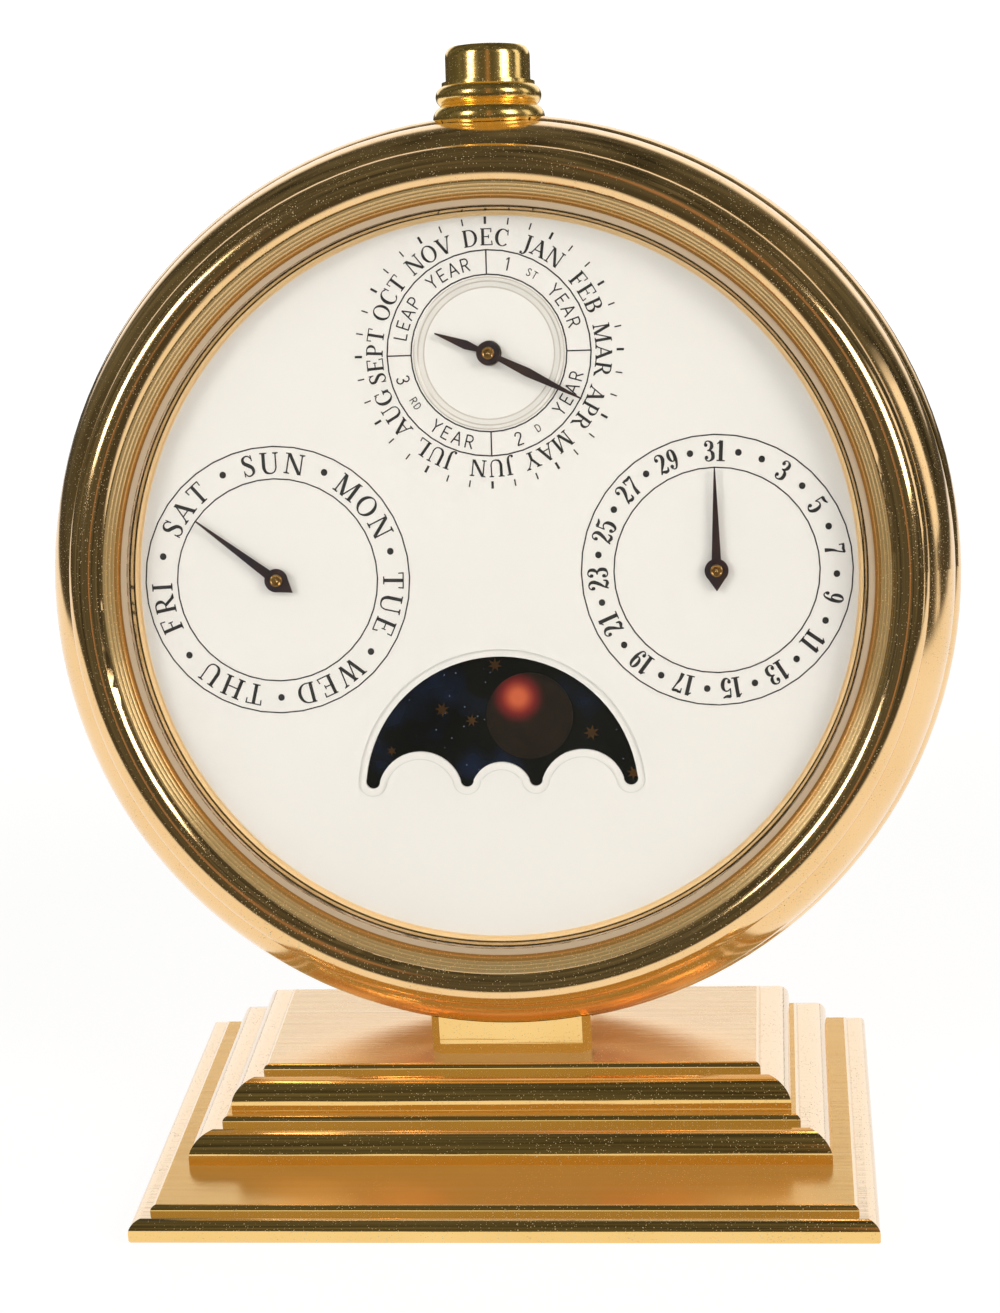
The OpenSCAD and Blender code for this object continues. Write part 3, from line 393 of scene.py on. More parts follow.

# %% [markdown]
# ## Dial: enamel, ink, blued steel
# The dial is sprayed with a warm white lacquer and rubbed flat, so it is smooth but for a faint
# orange peel, some millimetres wide, and a trace of cloud in the white. Ink is matt and almost
# black. The hands are steel, heated until they turn blue-black, with patches of brown.

# %% Lacquer, ink and blued steel
lacquer = finish("dial_lacquer", [(45.0, 3.0), (700.0, 2.0)], ("#F2EFE8", "#EEEAE2"), (0.34, 0.46), (0.06, 0.00005),
                 more={"Specular IOR Level": 0.35})
dress(lacquer, "dial_plate")
# The film of ink is thicker here and thinner there, in spots of a quarter of a millimetre.
printing_ink = finish("printing_ink", [(4000.0, 3.0)], ("#191716", "#322F2D"), (0.5, 0.8))
blued = finish("blued_steel", [(220.0, 3.0), (5000.0, 2.0)], ("#2C3852", "#6E4E34"), (0.22, 0.42), (0.15, 0.00002),
               gloss_from=1, more={"Metallic": 0.8})
dress(blued, "date_hand", "day_hand", "month_hand", "leap_hand")
print("lacquer and ink are mixed, and the hands are blued")

# %% [markdown]
# ## Moon disc
# The disc behind the opening is lacquered midnight blue, close to black, with a little dust. Its
# two moons are copper foil, dull and brown except where they catch the room's one warm light. That
# glow is a soft round patch of paint here, off the moon's middle, so that it stays on the moon as
# the disc turns.

# %% Midnight lacquer
navy, tree, surface = fresh("midnight_lacquer")
place = add(tree, "TexCoord", get="Object")
cloud = add(tree, "TexNoise", place, 110.0, 2.0)
cloud = add(tree, "MapRange", cloud, 0.5, 0.75)
specks = dust(tree, place, 1100.0, 0.09, 0.5)
tint = add(tree, "Mix RGBA", cloud, hue("#020306"), hue("#0E2140"))
tint = add(tree, "Mix RGBA", specks, tint, hue("#8A98AC"))
rough = add(tree, "MapRange", cloud, 0, 1, 0.18, 0.3)
add(tree, "BsdfPrincipled", {"Base Color": tint, "Roughness": rough, "Specular IOR Level": 0.3}, into=surface)
dress(navy, "moon_disc")
print("midnight blue on the moon disc")

# %% Copper moons
MOON, MOON_TURN, MOON_ORBIT = (0.0, -28.2), math.radians(21), 10.8
SKY_Z, FOIL_Z = -1.2, -1.05  # the disc's face and the moons' face, under the dial's


def moon_place(half):
    """Middle of a moon, and of its glow 2.9 mm up and to the left of it. The second is half a turn on."""
    a = MOON_TURN + half * math.pi
    middle = np.array([MOON[0] + MOON_ORBIT * math.sin(a), MOON[1] + MOON_ORBIT * math.cos(a)])
    side = np.array([-1.45, 2.5]) * (1 if half == 0 else -1)
    return middle, middle + side


foil, tree, surface = fresh("copper_foil")
place = add(tree, "TexCoord", get="Object")
crumple = add(tree, "TexNoise", place, 900.0, 3.0)
glow = 0.0
for half in (0, 1):
    spot = on_case([[*moon_place(half)[1], FOIL_Z]])[0]
    reach = add(tree, "VectorMath DISTANCE", place, tuple(spot))
    near = add(tree, "MapRange", reach, 0.0006, 0.0038, 1.0, 0.0, interpolation_type="SMOOTHSTEP")
    glow = add(tree, "Math ADD", near, glow)
copper = add(tree, "Mix RGBA", crumple, hue("#150C07"), hue("#2B1C12"))
core = add(tree, "Math POWER", glow, 3.0)
ember = add(tree, "Mix RGBA", core, hue("#A81C26"), hue("#DE6A42"))
tint = add(tree, "Mix RGBA", glow, copper, ember)
rough = add(tree, "MapRange", crumple, 0, 1, 0.3, 0.5)
bump = add(tree, "Bump", {"Strength": 0.1, "Distance": 0.00005, "Height": crumple})
add(tree, "BsdfPrincipled", {"Base Color": tint, "Metallic": 0.3, "Roughness": rough, "Normal": bump,
                             "Specular IOR Level": 0.3}, into=surface)
dress(foil, "gilt_moons")
print("moons at", [moon_place(h)[0].round(1).tolist() for h in (0, 1)])

# %% [markdown]
# ## Glass and its ring
# The glass is flat mineral glass. Light that would only cast its shadow is let through, because
# the dial behind it is lit through it and a path tracer finds that light badly. The ring that
# holds it is clear plastic gone a little milky.

# %% Glass
glass, tree, surface = fresh("mineral_glass")
smear = add(tree, "TexNoise", add(tree, "TexCoord", get="Object"), 60.0, 2.0)
rough = add(tree, "MapRange", smear, 0.5, 0.8, 0.0, 0.03)
pane = add(tree, "BsdfPrincipled", {"Base Color": (1, 1, 1, 1), "Roughness": rough, "IOR": 1.5,
                                    "Transmission Weight": 1.0})
clear = add(tree, "BsdfTransparent", (0.97, 0.97, 0.97, 1))
add(tree, "MixShader", add(tree, "LightPath", get="Is Shadow Ray"), pane, clear, into=surface)
dress(glass, "crystal")
milky = finish("milky_acrylic", [(400.0, 3.0)], ("#F3E6DA", "#E6D2C2"), (0.25, 0.5))
dress(milky, "crystal_gasket")
print("glass and its ring are in")

# %% [markdown]
# ## Print on the dial
# The scales are printed on the enamel in black ink. They could be text objects, but their fonts
# would have to come from a file. So the letters are drawn here as a sign painter builds them, from
# a few strokes: a stem, a level rule, a bowl between two ovals, a bracketed serif, a ball and a
# brush line. Each stroke is a ribbon, a left edge and a right edge with the same number of
# points, so any letter becomes quads in one way. A letter is drawn 100 units high.


# %% Strokes
def stem(foot, head, width, low=0, high=100):
    """Straight stroke cut level: from x = foot at height low to x = head at height high, width wide all the way."""
    middle = np.array([[foot, low], [head, high]])
    return middle - [width / 2, 0], middle + [width / 2, 0]


def rule(left, right, low, height):
    """Level stroke: a box from left to right and from low to low + height."""
    return np.array([[left, low + height], [right, low + height]]), np.array([[left, low], [right, low]])


def bowl(x, y, wide, tall, side, top, start=0, end=360, shift=0.0):
    """Band between two ovals: the outer of radii wide and tall, the inner less by side and top and moved by shift."""
    a = np.radians(np.linspace(start, end, 41))
    outer = np.stack([x + wide * np.cos(a), y + tall * np.sin(a)], 1)
    inner = np.stack([x + shift + (wide - side) * np.cos(a), y + (tall - top) * np.sin(a)], 1)
    return outer, inner


def serif(x, y, width, up=1, slab=4.5, bracket=9):
    """Foot of a stem: slab high at its ends, and higher by bracket * (1 - |t|) cubed towards the stem."""
    t = np.linspace(-1, 1, 15)
    edge = slab + bracket * (1 - abs(t)) ** 3
    return np.stack([x + t * width / 2, y + up * edge], 1), np.stack([x + t * width / 2, np.full(15, y)], 1)


def brush(points, widths, steps=9):
    """Catmull-Rom line with a width of its own at each point.

    Each stretch is a cubic through its two ends, whose slope there is half the step between the
    neighbours.
    """
    p = np.array(points, float)
    widths = np.broadcast_to(widths, len(p))
    p = np.vstack([2 * p[0] - p[1], p, 2 * p[-1] - p[-2]])
    a, b, c, d = p[:-3, None], p[1:-2, None], p[2:-1, None], p[3:, None]
    t = np.linspace(0, 1, steps, endpoint=False)[None, :, None]
    line = 0.5 * (2 * b + (c - a) * t + (2 * a - 5 * b + 4 * c - d) * t**2 + (3 * b - a - 3 * c + d) * t**3)
    line = np.vstack([line.reshape(-1, 2), p[-2]])
    half = np.interp(np.linspace(0, len(widths) - 1, len(line)), np.arange(len(widths)), widths)[:, None] / 2
    along = np.gradient(line, axis=0)
    along = along / np.linalg.norm(along, axis=1, keepdims=True)
    side = np.stack([-along[:, 1], along[:, 0]], 1)
    return line + side * half, line - side * half


def ball(x, y, r):
    """Round dot: an upper half circle, (x - r cos a, y + r sin a), and a lower one."""
    a = np.linspace(0, np.pi, 17)
    return (np.stack([x - r * np.cos(a), y + r * np.sin(a)], 1),
            np.stack([x - r * np.cos(a), y - r * np.sin(a)], 1))


print("points in a bowl:", len(bowl(0, 0, 1, 1, 0.1, 0.1)[0]))

# %% [markdown]
# The capitals are a book face: thick stems, hairline rules and bracketed serifs. The numbers of
# the date are a bold narrow face with ball ends, and the years are in a thin plain face. A letter
# is its width and its strokes.

# %% Capitals
W, H = 15, 4.5  # a thick stem and a hairline
POST, FOOT, HEAD = stem(22, 22, W), serif(22, 0, 36), serif(22, 100, 36, -1)
CAPS = {
    "A": (98, [stem(14, 49, 5.5), stem(83, 46, 16.5), rule(26, 70, 30, 5), serif(14, 0, 28), serif(83, 0, 34)]),
    "B": (84, [POST, rule(8, 46, 100 - H, H), rule(20, 46, 50, 4), rule(8, 46, 0, H),
               bowl(44, 75.5, 27, 24.5, 14, H, -90, 90), bowl(45, 26.5, 32, 26.5, W, H, -90, 90)]),
    "C": (90, [bowl(50, 50, 44, 52, W, H, 48, 315, 3), stem(81, 80, 4.5, 66, 100)]),
    "D": (100, [POST, rule(8, 46, 100 - H, H), rule(8, 46, 0, H), bowl(44, 50, 48, 50, W, H, -90, 90)]),
    "E": (86, [POST, rule(8, 74, 100 - H, H), rule(20, 58, 49, H), rule(8, 78, 0, H),
               stem(71, 73, H, 76, 100), stem(57, 57, 4, 40, 62), stem(79, 75, H, 0, 26)]),
    "F": (80, [POST, rule(8, 72, 100 - H, H), rule(20, 56, 48, H), stem(69, 71, H, 74, 100),
               stem(55, 55, 4, 38, 62), FOOT]),
    "G": (100, [bowl(50, 50, 44, 52, W, H, 48, 322, 3), stem(81, 80, H, 68, 100), stem(82, 82, 14, 6, 42),
                rule(66, 97, 40, 4)]),
    "H": (106, [POST, stem(84, 84, W), rule(22, 84, 48, H), FOOT, serif(84, 0, 36),
                HEAD, serif(84, 100, 36, -1)]),
    "I": (44, [POST, FOOT, HEAD]),
    "J": (52, [stem(34, 34, W, 30, 100), serif(34, 100, 36, -1), ball(6, -12, 7.5),
               brush([(34, 40), (34, 20), (30, -4), (18, -17), (5, -17)], [W, W, 11, 5, 5])]),
    "L": (82, [POST, HEAD, rule(8, 76, 0, H), stem(77, 73, H, 0, 27)]),
    "M": (124, [stem(20, 20, 5.5), stem(102, 102, W), stem(60, 23, 16), stem(60, 99, 5.5), serif(20, 0, 28),
                serif(102, 0, 36), rule(7, 30, 100 - H, H), rule(96, 118, 100 - H, H)]),
    "N": (106, [stem(20, 20, 5.5), stem(87, 87, 5.5), stem(84, 22, 17), serif(20, 0, 28), serif(87, 100, 28, -1),
                rule(5, 28, 100 - H, H)]),
    "O": (100, [bowl(50, 50, 45, 52, W, H)]),
    "P": (80, [POST, rule(8, 44, 100 - H, H), rule(20, 44, 44, 4), serif(22, 0, 38),
               bowl(42, 72, 31, 28, 14.5, H, -90, 90)]),
    "R": (94, [POST, rule(8, 44, 100 - H, H), rule(20, 46, 46, 4), FOOT,
               bowl(42, 73, 31, 27, 14.5, H, -90, 90), stem(80, 45, 16, 0, 48), serif(83, 0, 24)]),
    "S": (68, [brush([(56, 80), (46, 95), (30, 98), (15, 87), (17, 68), (35, 53), (52, 37), (55, 16), (41, 2),
                      (24, 3), (11, 20)], [3, 5, 5.5, 12, 15.5, 17, 15.5, 12, 5.5, 5, 3]), stem(57, 56, 4, 70, 100),
               stem(10, 11, 4, 0, 30)]),
    "T": (88, [stem(44, 44, W), serif(44, 0, 38), rule(6, 82, 100 - H, H), stem(9, 7, H, 74, 100),
               stem(79, 81, H, 74, 100)]),
    "U": (106, [stem(25, 25, W, 30, 100), stem(85, 85, 5.5, 30, 100), serif(25, 100, 36, -1), serif(85, 100, 28, -1),
                brush([(25, 42), (26, 25), (36, 5), (57, -1), (76, 6), (85, 26), (85, 42)],
                      [W, W, 11, 5.5, 5, 5.5, 5.5])]),
    "V": (100, [stem(50, 16, 16.5), stem(50, 86, 5.5), serif(17, 100, 34, -1), serif(86, 100, 28, -1)]),
    "W": (136, [stem(42, 14, 15.5), stem(42, 70, 5.5), stem(95, 66, 15.5), stem(95, 124, 5.5), serif(15, 100, 32, -1),
                serif(68, 100, 28, -1), serif(124, 100, 26, -1)]),
    "Y": (96, [stem(48, 48, W, 0, 48), stem(47, 14, 15.5, 44, 100), stem(49, 84, 5.5, 44, 100), serif(48, 0, 38),
               serif(15, 100, 34, -1), serif(84, 100, 28, -1)]),
}
print("capitals:", "".join(CAPS))

# %% Numbers of the date
NUMBERS = {
    "1": (44, [stem(25, 25, 17), serif(25, 0, 40, 1, 4.5, 5), brush([(6, 83), (14, 89), (24, 98.5)], [3, 6, 10])]),
    "2": (56, [ball(13, 77, 8.5),
               brush([(6, 79), (13, 93), (27, 98), (41, 88), (43, 70), (32, 46), (16, 22), (8, 5)],
                     [4, 5, 4.5, 12, 17, 14, 7, 4.5]),
               brush([(6, 3), (16, 13), (32, 6), (44, 9), (49, 25)], [5, 9, 15, 10, 3])]),
    "3": (56, [ball(13, 80, 8.5), ball(13, 19, 8.5),
               brush([(6, 82), (14, 95), (27, 98), (40, 88), (41, 70), (32, 56), (19, 52.5)],
                     [4, 4.5, 4.5, 12, 16, 9, 4]),
               brush([(19, 52.5), (34, 50), (44, 36), (43, 14), (28, 2), (14, 4), (6, 15)],
                     [4, 8, 16, 15, 5, 4.5, 4])]),
    "5": (56, [brush([(10, 91), (30, 90), (47, 97)], [15, 12, 4]), stem(9, 9, 4.5, 50, 95), ball(13, 18, 8.5),
               brush([(9, 52), (20, 62), (34, 62), (44, 48), (45, 26), (36, 6), (22, 2), (7, 13)],
                     [3, 4.5, 6, 15, 17, 12, 5, 4])]),
    "7": (54, [brush([(6, 85), (12, 93), (28, 90), (48, 94)], [4, 10, 13, 9]), stem(7, 5, 4, 72, 98),
               brush([(48, 95), (37, 62), (27, 36), (22, 0)], [5, 6, 12, 18])]),
    "9": (56, [bowl(27, 69, 22, 31, 14.5, 4.5), ball(13, 18, 8.5),
               brush([(42, 72), (42, 42), (34, 11), (22, 2), (8, 12)], [14, 13, 7, 4.5, 4])]),
}
print("numbers:", " ".join(NUMBERS))

# %% Plain face of the years
L = 8
BAR = stem(10, 10, L)
PLAIN = {
    "A": (74, [brush([(4, 0), (37, 100)], L), brush([(70, 0), (37, 100)], L), rule(16, 58, 30, L)]),
    "D": (70, [BAR, rule(10, 32, 100 - L, L), rule(10, 32, 0, L), bowl(32, 50, 32, 50, L, L, -90, 90)]),
    "E": (62, [BAR, rule(10, 57, 100 - L, L), rule(10, 50, 47, L), rule(10, 57, 0, L)]),
    "L": (58, [BAR, rule(10, 54, 0, L)]),
    "P": (66, [BAR, rule(10, 36, 100 - L, L), rule(10, 36, 44, L), bowl(36, 72, 26, 28, L, L, -90, 90)]),
    "R": (68, [BAR, rule(10, 36, 100 - L, L), rule(10, 36, 44, L), bowl(36, 72, 26, 28, L, L, -90, 90),
               brush([(34, 48), (62, 0)], L)]),
    "S": (60, [brush([(50, 82), (38, 95), (20, 94), (10, 76), (26, 55), (46, 42), (52, 22), (38, 5), (20, 4),
                      (6, 18)], L)]),
    "T": (64, [stem(32, 32, L), rule(3, 61, 100 - L, L)]),
    "Y": (68, [brush([(4, 100), (34, 48)], L), brush([(64, 100), (34, 48)], L), stem(34, 34, L, 0, 50)]),
    "1": (40, [stem(26, 26, L), brush([(8, 80), (26, 97)], L)]),
    "2": (62, [brush([(8, 74), (16, 92), (33, 96), (51, 85), (48, 62), (26, 32), (8, 4)], L), rule(6, 56, 0, L)]),
    "3": (60, [brush([(8, 82), (20, 95), (40, 93), (49, 75), (40, 57), (24, 52)], L),
               brush([(24, 52), (44, 47), (53, 27), (42, 7), (22, 4), (7, 18)], L)]),
}
print("plain letters:", "".join(PLAIN))

# %% [markdown]
# Each small dial is a set of circles, marks and words round a middle. A word's letters are set one
# by one along the circle, each turned to stand on it, as an engraver's dividing head does it.

# %% Setting round a circle
ink = []
DAY, DATE, MONTH = (-28.9, 0.6), (28.9, 0.6), (0.0, 29.5)


def polar(middle, turn, across, along):
    """Turns points clockwise by turn degrees about middle: `along` runs out from it, `across` to the right."""
    a = np.radians(turn)
    return np.stack([middle[0] + across * np.cos(a) + along * np.sin(a),
                     middle[1] - across * np.sin(a) + along * np.cos(a)], 1)


def circle(middle, r, width):
    """Line of one width round a middle: a band between two circles."""
    ink.append(bowl(*middle, r + width / 2, r + width / 2, width, width, 0, 360))


def mark(middle, turn, r0, r1, width):
    """Straight mark that points at the middle, from radius r0 to r1."""
    along = np.array([r0, r1])
    ink.append(tuple(polar(middle, turn, np.full(2, s * width / 2), along) for s in (-1, 1)))


def dot(middle, turn, r, size):
    ink.append(ball(*polar(middle, turn, np.zeros(1), np.array([r]))[0], size))


def word(text, middle, turn, foot, cap, face, gap, feet_in=True):
    """Letters along a circle: one whose middle lies s along it is turned by s / r.

    With feet_in they stand on the circle's inner side, otherwise on its outer side.
    """
    scale = cap / 100
    widths = np.array([face[c][0] for c in text]) * scale
    starts = np.cumsum(widths + gap) - widths - gap
    middles = starts + widths / 2 - (widths.sum() + gap * (len(text) - 1)) / 2
    r = foot + cap / 2 if feet_in else foot - cap / 2
    way = 1 if feet_in else -1
    for c, s, w in zip(text, middles, widths):
        a = turn + way * math.degrees(s / r)
        for stroke in face[c][1]:
            edges = (edge.T * scale for edge in stroke)
            ink.append(tuple(polar(middle, a, way * (x - w / 2), foot + way * y) for x, y in edges))


print("circles, marks, dots and words can be set round a middle")

# %% Day, date and month
for middle in (DAY, DATE):
    circle(middle, 17.6, 0.13)
    circle(middle, 13.35, 0.13)
for i, name in enumerate(["SUN", "MON", "TUE", "WED", "THU", "FRI", "SAT"]):
    word(name, DAY, i * 360 / 7, 14.1, 2.7, CAPS, 0.5)
    dot(DAY, (i + 0.5) * 360 / 7, 15.55, 0.43)
for day in range(1, 32):
    if day % 2 and day > 1:
        word(str(day), DATE, day * 360 / 31, 14.15, 2.66, NUMBERS, 0.1)
    else:
        dot(DATE, day * 360 / 31, 15.5, 0.42)
for i, name in enumerate(["DEC", "JAN", "FEB", "MAR", "APR", "MAY", "JUN", "JUL", "AUG", "SEPT", "OCT", "NOV"]):
    word(name, MONTH, i * 30, 13.9, 2.15, CAPS, 0.12)
    mark(MONTH, i * 30, 16.62, 17.58, 0.27)
    mark(MONTH, i * 30 + 10, 16.68, 17.56, 0.14)
    mark(MONTH, i * 30 - 10, 16.68, 17.56, 0.14)
print("strokes so far:", len(ink))

# %% Ring of the years
circle(MONTH, 13.32, 0.14)
circle(MONTH, 10.17, 0.14)
for quarter in range(4):
    mark(MONTH, quarter * 90, 10.17, 13.32, 0.14)
for text, turn, feet_in in (("YEAR", 60, True), ("1", 13.5, True), ("YEAR", 118, False), ("2", 162, False),
                            ("YEAR", 206, False), ("3", 254.5, False), ("LEAP", 294, True), ("YEAR", 334.5, True)):
    word(text, MONTH, turn, 10.87 if feet_in else 12.62, 1.75, PLAIN, 0.42, feet_in)
for text, turn, feet_in in (("ST", 30.5, True), ("D", 148, False), ("RD", 237.5, False)):
    word(text, MONTH, turn, 11.15 if feet_in else 12.1, 1.0, PLAIN, 0.22, feet_in)
print("strokes in all:", len(ink))

# %% [markdown]
# The ribbons become one mesh. Ink lies on the enamel as a film, drawn 0.03 mm over it so that the
# two never share a plane, and a quad that came out clockwise is turned, so that all of it faces out.


# %% Ink as a mesh
def new_piece(name, points, faces, material, body, slot, smooth=False):
    """Puts points, in metres, and faces into a mesh that rides on a body of the frame."""
    shape = bpy.data.meshes.new(name)
    shape.from_pydata(np.asarray(points).tolist(), [], [tuple(map(int, f)) for f in faces])
    shape.polygons.foreach_set("use_smooth", np.full(len(shape.polygons), smooth))
    shape.materials.append(material)
    shape.validate()
    shape.update()
    piece = bpy.data.objects.new(name, shape)
    bpy.context.scene.collection.objects.link(piece)
    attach(piece, body)
    return piece


def ribbon_mesh(strokes, height, spread=0.022):
    """Quads between the two edges of every stroke, at one height over the dial.

    Ink creeps as it dries, so both edges move out by spread. The sign of a quad's area tells its turn.
    """
    points, faces, first = [], [], 0
    for left, right in strokes:
        out = right - left
        out = spread * out / np.maximum(np.linalg.norm(out, axis=1, keepdims=True), 0.01)
        left, right = left - out, right + out
        n = len(left)
        k = np.arange(n - 1) + first
        quads = np.stack([k, k + 1, k + 1 + n, k + n], 1)
        flat = np.vstack([left, right])
        q = flat[quads - first]
        area = np.cross(q[:, 2] - q[:, 0], q[:, 3] - q[:, 1])
        quads[area < 0] = quads[area < 0][:, ::-1]
        points.append(flat)
        faces.append(quads)
        first += 2 * n
    flat = np.vstack(points)
    return on_case(np.column_stack([flat, np.full(len(flat), height)])), np.vstack(faces)


def arc(x, y, r, start, end):
    """Line 0.09 mm wide along a circle round (x, y), from angle start to angle end in degrees."""
    return bowl(x, y, r, r, 0.09, 0.09, start, end)


# The opening for the moon is bounded by circles: an arch, a dome at each side and one in the middle.
# They stop 1.75 mm over the arch's middle, in rounded points. A pressed edge runs 0.95 mm outside.
ARCH, SIDE_DOME, MID_DOME, DOME_X, RISE = 18.1, 5.65, 4.1, 10.8, 1.75
arch_x, side_x, mid_x = (math.sqrt(r**2 - RISE**2) for r in (ARCH, SIDE_DOME, MID_DOME))
arch_foot, side_foot, mid_foot = (math.degrees(math.atan2(RISE, x)) for x in (arch_x, side_x, mid_x))
edge = [arc(*MOON, ARCH + 0.98, arch_foot, 180 - arch_foot),
        arc(*MOON, MID_DOME - 0.92, mid_foot + 14, 166 - mid_foot)]
for side in (-1, 1):
    edge.append(arc(MOON[0] + side * DOME_X, MOON[1], SIDE_DOME - 0.92, side_foot + 8, 172 - side_foot))
    for a, b in ((DOME_X + side_x, arch_x), (mid_x, DOME_X - side_x)):
        edge.append(arc(MOON[0] + side * (a + b) / 2, MOON[1] + RISE, abs(b - a) / 2 + 1.01, 180, 360))
# The pressed edge is not modelled: its shade is painted as a grey line 0.09 mm wide.
shade = finish("pressed_edge_shade", [(500.0, 3.0)], ("#C4CAC4", "#E4E2DA"), 0.4)
new_piece("opening_edge_line", *ribbon_mesh(edge, 0.02, 0.0), shade, "calendar", "dial_enamel")
scales = new_piece("dial_scales", *ribbon_mesh(ink, 0.03), printing_ink, "calendar", "black_paint")
print("quads of ink:", len(scales.data.polygons))

# %% [markdown]
# ## Stars, pins and a soft edge
# The gold stars are foil, stamped out and laid on the moon disc. A star is a fan of triangles from
# its middle to a rim that swings between two radii. The pins that hold the hands and the
# rounded edge of the sunk disc are turned shapes: a profile, given as radius and height, is carried
# round an axis, which makes a grid of quads whose last column joins the first.


# %% Foil stars
foil_gold = grained_metal("bronze_foil", "#8A6238", "#33241A", 0.35, 0.55, 2500.0)


def star(x, y, tip, points, turn):
    """Middle and rim of a star: the rim's radius is tip at even steps and 0.45 * tip at odd ones."""
    a = np.radians(turn) + np.pi * np.arange(2 * points) / points
    r = np.where(np.arange(2 * points) % 2 == 0, tip, 0.45 * tip)
    rim = np.stack([x + r * np.sin(a), y + r * np.cos(a)], 1)
    k = np.arange(2 * points)
    fan = np.stack([np.zeros_like(k), (k + 1) % (2 * points) + 1, k + 1], 1)
    return np.vstack([[[x, y]], rim]), fan


STARS = [(-0.5, -11.3, 0.95, 7, 0), (-7.7, -17.1, 1.0, 7, 20), (-3.8, -18.6, 0.85, 7, 5), (12.0, -20.5, 1.05, 7, 10),
         (17.4, -25.9, 0.95, 7, 30), (-14.6, -22.5, 0.7, 6, 0), (7.2, -33.6, 1.0, 7, 8), (2.4, -43.2, 0.9, 7, 15),
         (-4.6, -36.6, 0.8, 7, 25), (-12.3, -33.0, 1.0, 7, 3), (13.4, -35.9, 0.85, 7, 12), (-9.7, -42.4, 0.9, 7, 18),
         (9.3, -42.8, 0.7, 6, 9), (-16.6, -29.4, 0.8, 7, 22)]
points, faces, first = [], [], 0
for spot in STARS:
    shape, fan = star(*spot)
    points.append(shape)
    faces.append(fan + first)
    first += len(shape)
flat = np.vstack(points)
flat = on_case(np.column_stack([flat, np.full(len(flat), SKY_Z + 0.03)]))
new_piece("moon_disc_stars", flat, np.vstack(faces), foil_gold, "moon_train", "gilt_paint")
print("stars:", len(STARS))


# %% Turned shapes
def turned(profile, middle, segments=96):
    """Carries (radius, height) pairs round an axis through middle: x = r sin a, y = r cos a.

    A last radius of 0 becomes one point, closed with a fan.
    """
    profile = np.array(profile, float)
    a = 2 * np.pi * np.arange(segments) / segments
    r, z = profile[:, :1], profile[:, 1:]
    grid = np.stack([middle[0] + r * np.sin(a), middle[1] + r * np.cos(a), z + 0 * a], -1)
    i, j = np.meshgrid(np.arange(len(profile) - 1), np.arange(segments), indexing="ij")
    k, nxt = i * segments + j, i * segments + (j + 1) % segments
    quads = np.stack([k, nxt, nxt + segments, k + segments], -1).reshape(-1, 4)
    points, faces = grid.reshape(-1, 3), quads.tolist()
    if profile[-1, 0] == 0:
        tip = (len(profile) - 1) * segments
        points, last = points[:tip + 1], np.arange(segments) + tip - segments
        faces = faces[:-segments] + np.stack([last, np.roll(last, -1), np.full(segments, tip)], 1).tolist()
    return on_case(points), [f[::-1] for f in faces]


# The pin's head: a rim 0.1 mm high round a dish, with a dimple where the turning centre was.
t = np.linspace(0, 1, 9)[:, None]
rim = np.hstack([0.78 - 0.07 * (1 - np.cos(np.pi * t)), 0.03 + 0.09 * np.sin(np.pi * t)])
head = np.vstack([[0.78, -0.02], rim, [0.5, 0.05], [0.3, 0.06], [0.2, 0.05], [0.12, 0.0], [0.04, -0.025],
                  [0.0, -0.03]])
# Each head sits a hair over its arbor's end, whose height is the third value here.
pin_gilt = grained_metal("gilt_pin", "#E8C07C", "#B9853F", 0.12, 0.3, 4000.0)
for name, middle, base, body in (("date_pin_head", DATE, 1.15, "date_train"),
                                 ("day_pin_head", DAY, 1.15, "day_train"),
                                 ("month_pin_head", MONTH, 1.3, "month_train")):
    shape, quads = turned(head + [0, base + 0.005], middle, 48)
    new_piece(name, shape, quads, pin_gilt, body, "plain_brass", smooth=True)

# Four reeds, 0.52 mm wide and 0.11 mm high, run round the bezel's slope. Each shows the whole room
# as one fine line.
t = np.linspace(0, 1, 10)[:, None]
along, across = np.array([[0.445, 0.272]]), np.array([[-0.521, 0.853]])
waves = [[[49.5, 3.78]] + along * (k + t) + 0.11 * np.sin(np.pi * t) * across for k in range(4)]
reeds = np.vstack([[[49.58, 3.62]], *waves, [[51.62, 4.82]]])
reeds = reeds[np.append(True, np.linalg.norm(np.diff(reeds, axis=0), axis=1) > 1e-6)]
shape, quads = turned(reeds[::-1], (0.0, 0.0), 360)
new_piece("bezel_reeds", shape, quads, bezel_gilt, "calendar", "gilt_brass", smooth=True)
print("quads in the reeds:", len(quads))

# The sunk disc's edge: a fillet of lacquer from the face down to the floor, 0.2 mm lower.
t = np.linspace(0, 1, 25)[:, None]
drop = 0.21 * (3 * t**2 - 2 * t**3) - 0.09 * np.sin(np.pi * np.minimum(t * 2.2, 1))
fillet = np.hstack([9.9 - 1.44 * t, 0.012 - drop])
shape, quads = turned(fillet, MONTH, 160)
glossy, tree, surface = fresh("glossy_lacquer_rim")
place = add(tree, "TexCoord", get="Object")
reach = add(tree, "VectorMath DISTANCE", place, tuple(on_case([[*MONTH, 0.0]])[0]))
lines = 0.0
# Painted shade: three grey-brown rings, at 9.85, 9.3 and 8.5 mm, darken the fillet where its edges fall into shade.
for at, wide in ((9.85, 0.06), (9.3, 0.05), (8.5, 0.08)):
    off = add(tree, "Math ABSOLUTE", add(tree, "Math SUBTRACT", reach, at * MM))
    line = add(tree, "MapRange", off, wide * MM, wide * 2.5 * MM, 1.0, 0.0)
    lines = add(tree, "Math MAXIMUM", line, lines)
cloud = add(tree, "TexNoise", place, 260.0, 3.0)
rim_tint = add(tree, "Mix RGBA", cloud, hue("#F1EEE6"), hue("#E1DDD3"))
shade_line_tint = add(tree, "Mix RGBA", cloud, hue("#BDB2A2"), hue("#DAD4C8"))
rim_tint = add(tree, "Mix RGBA", lines, rim_tint, shade_line_tint)
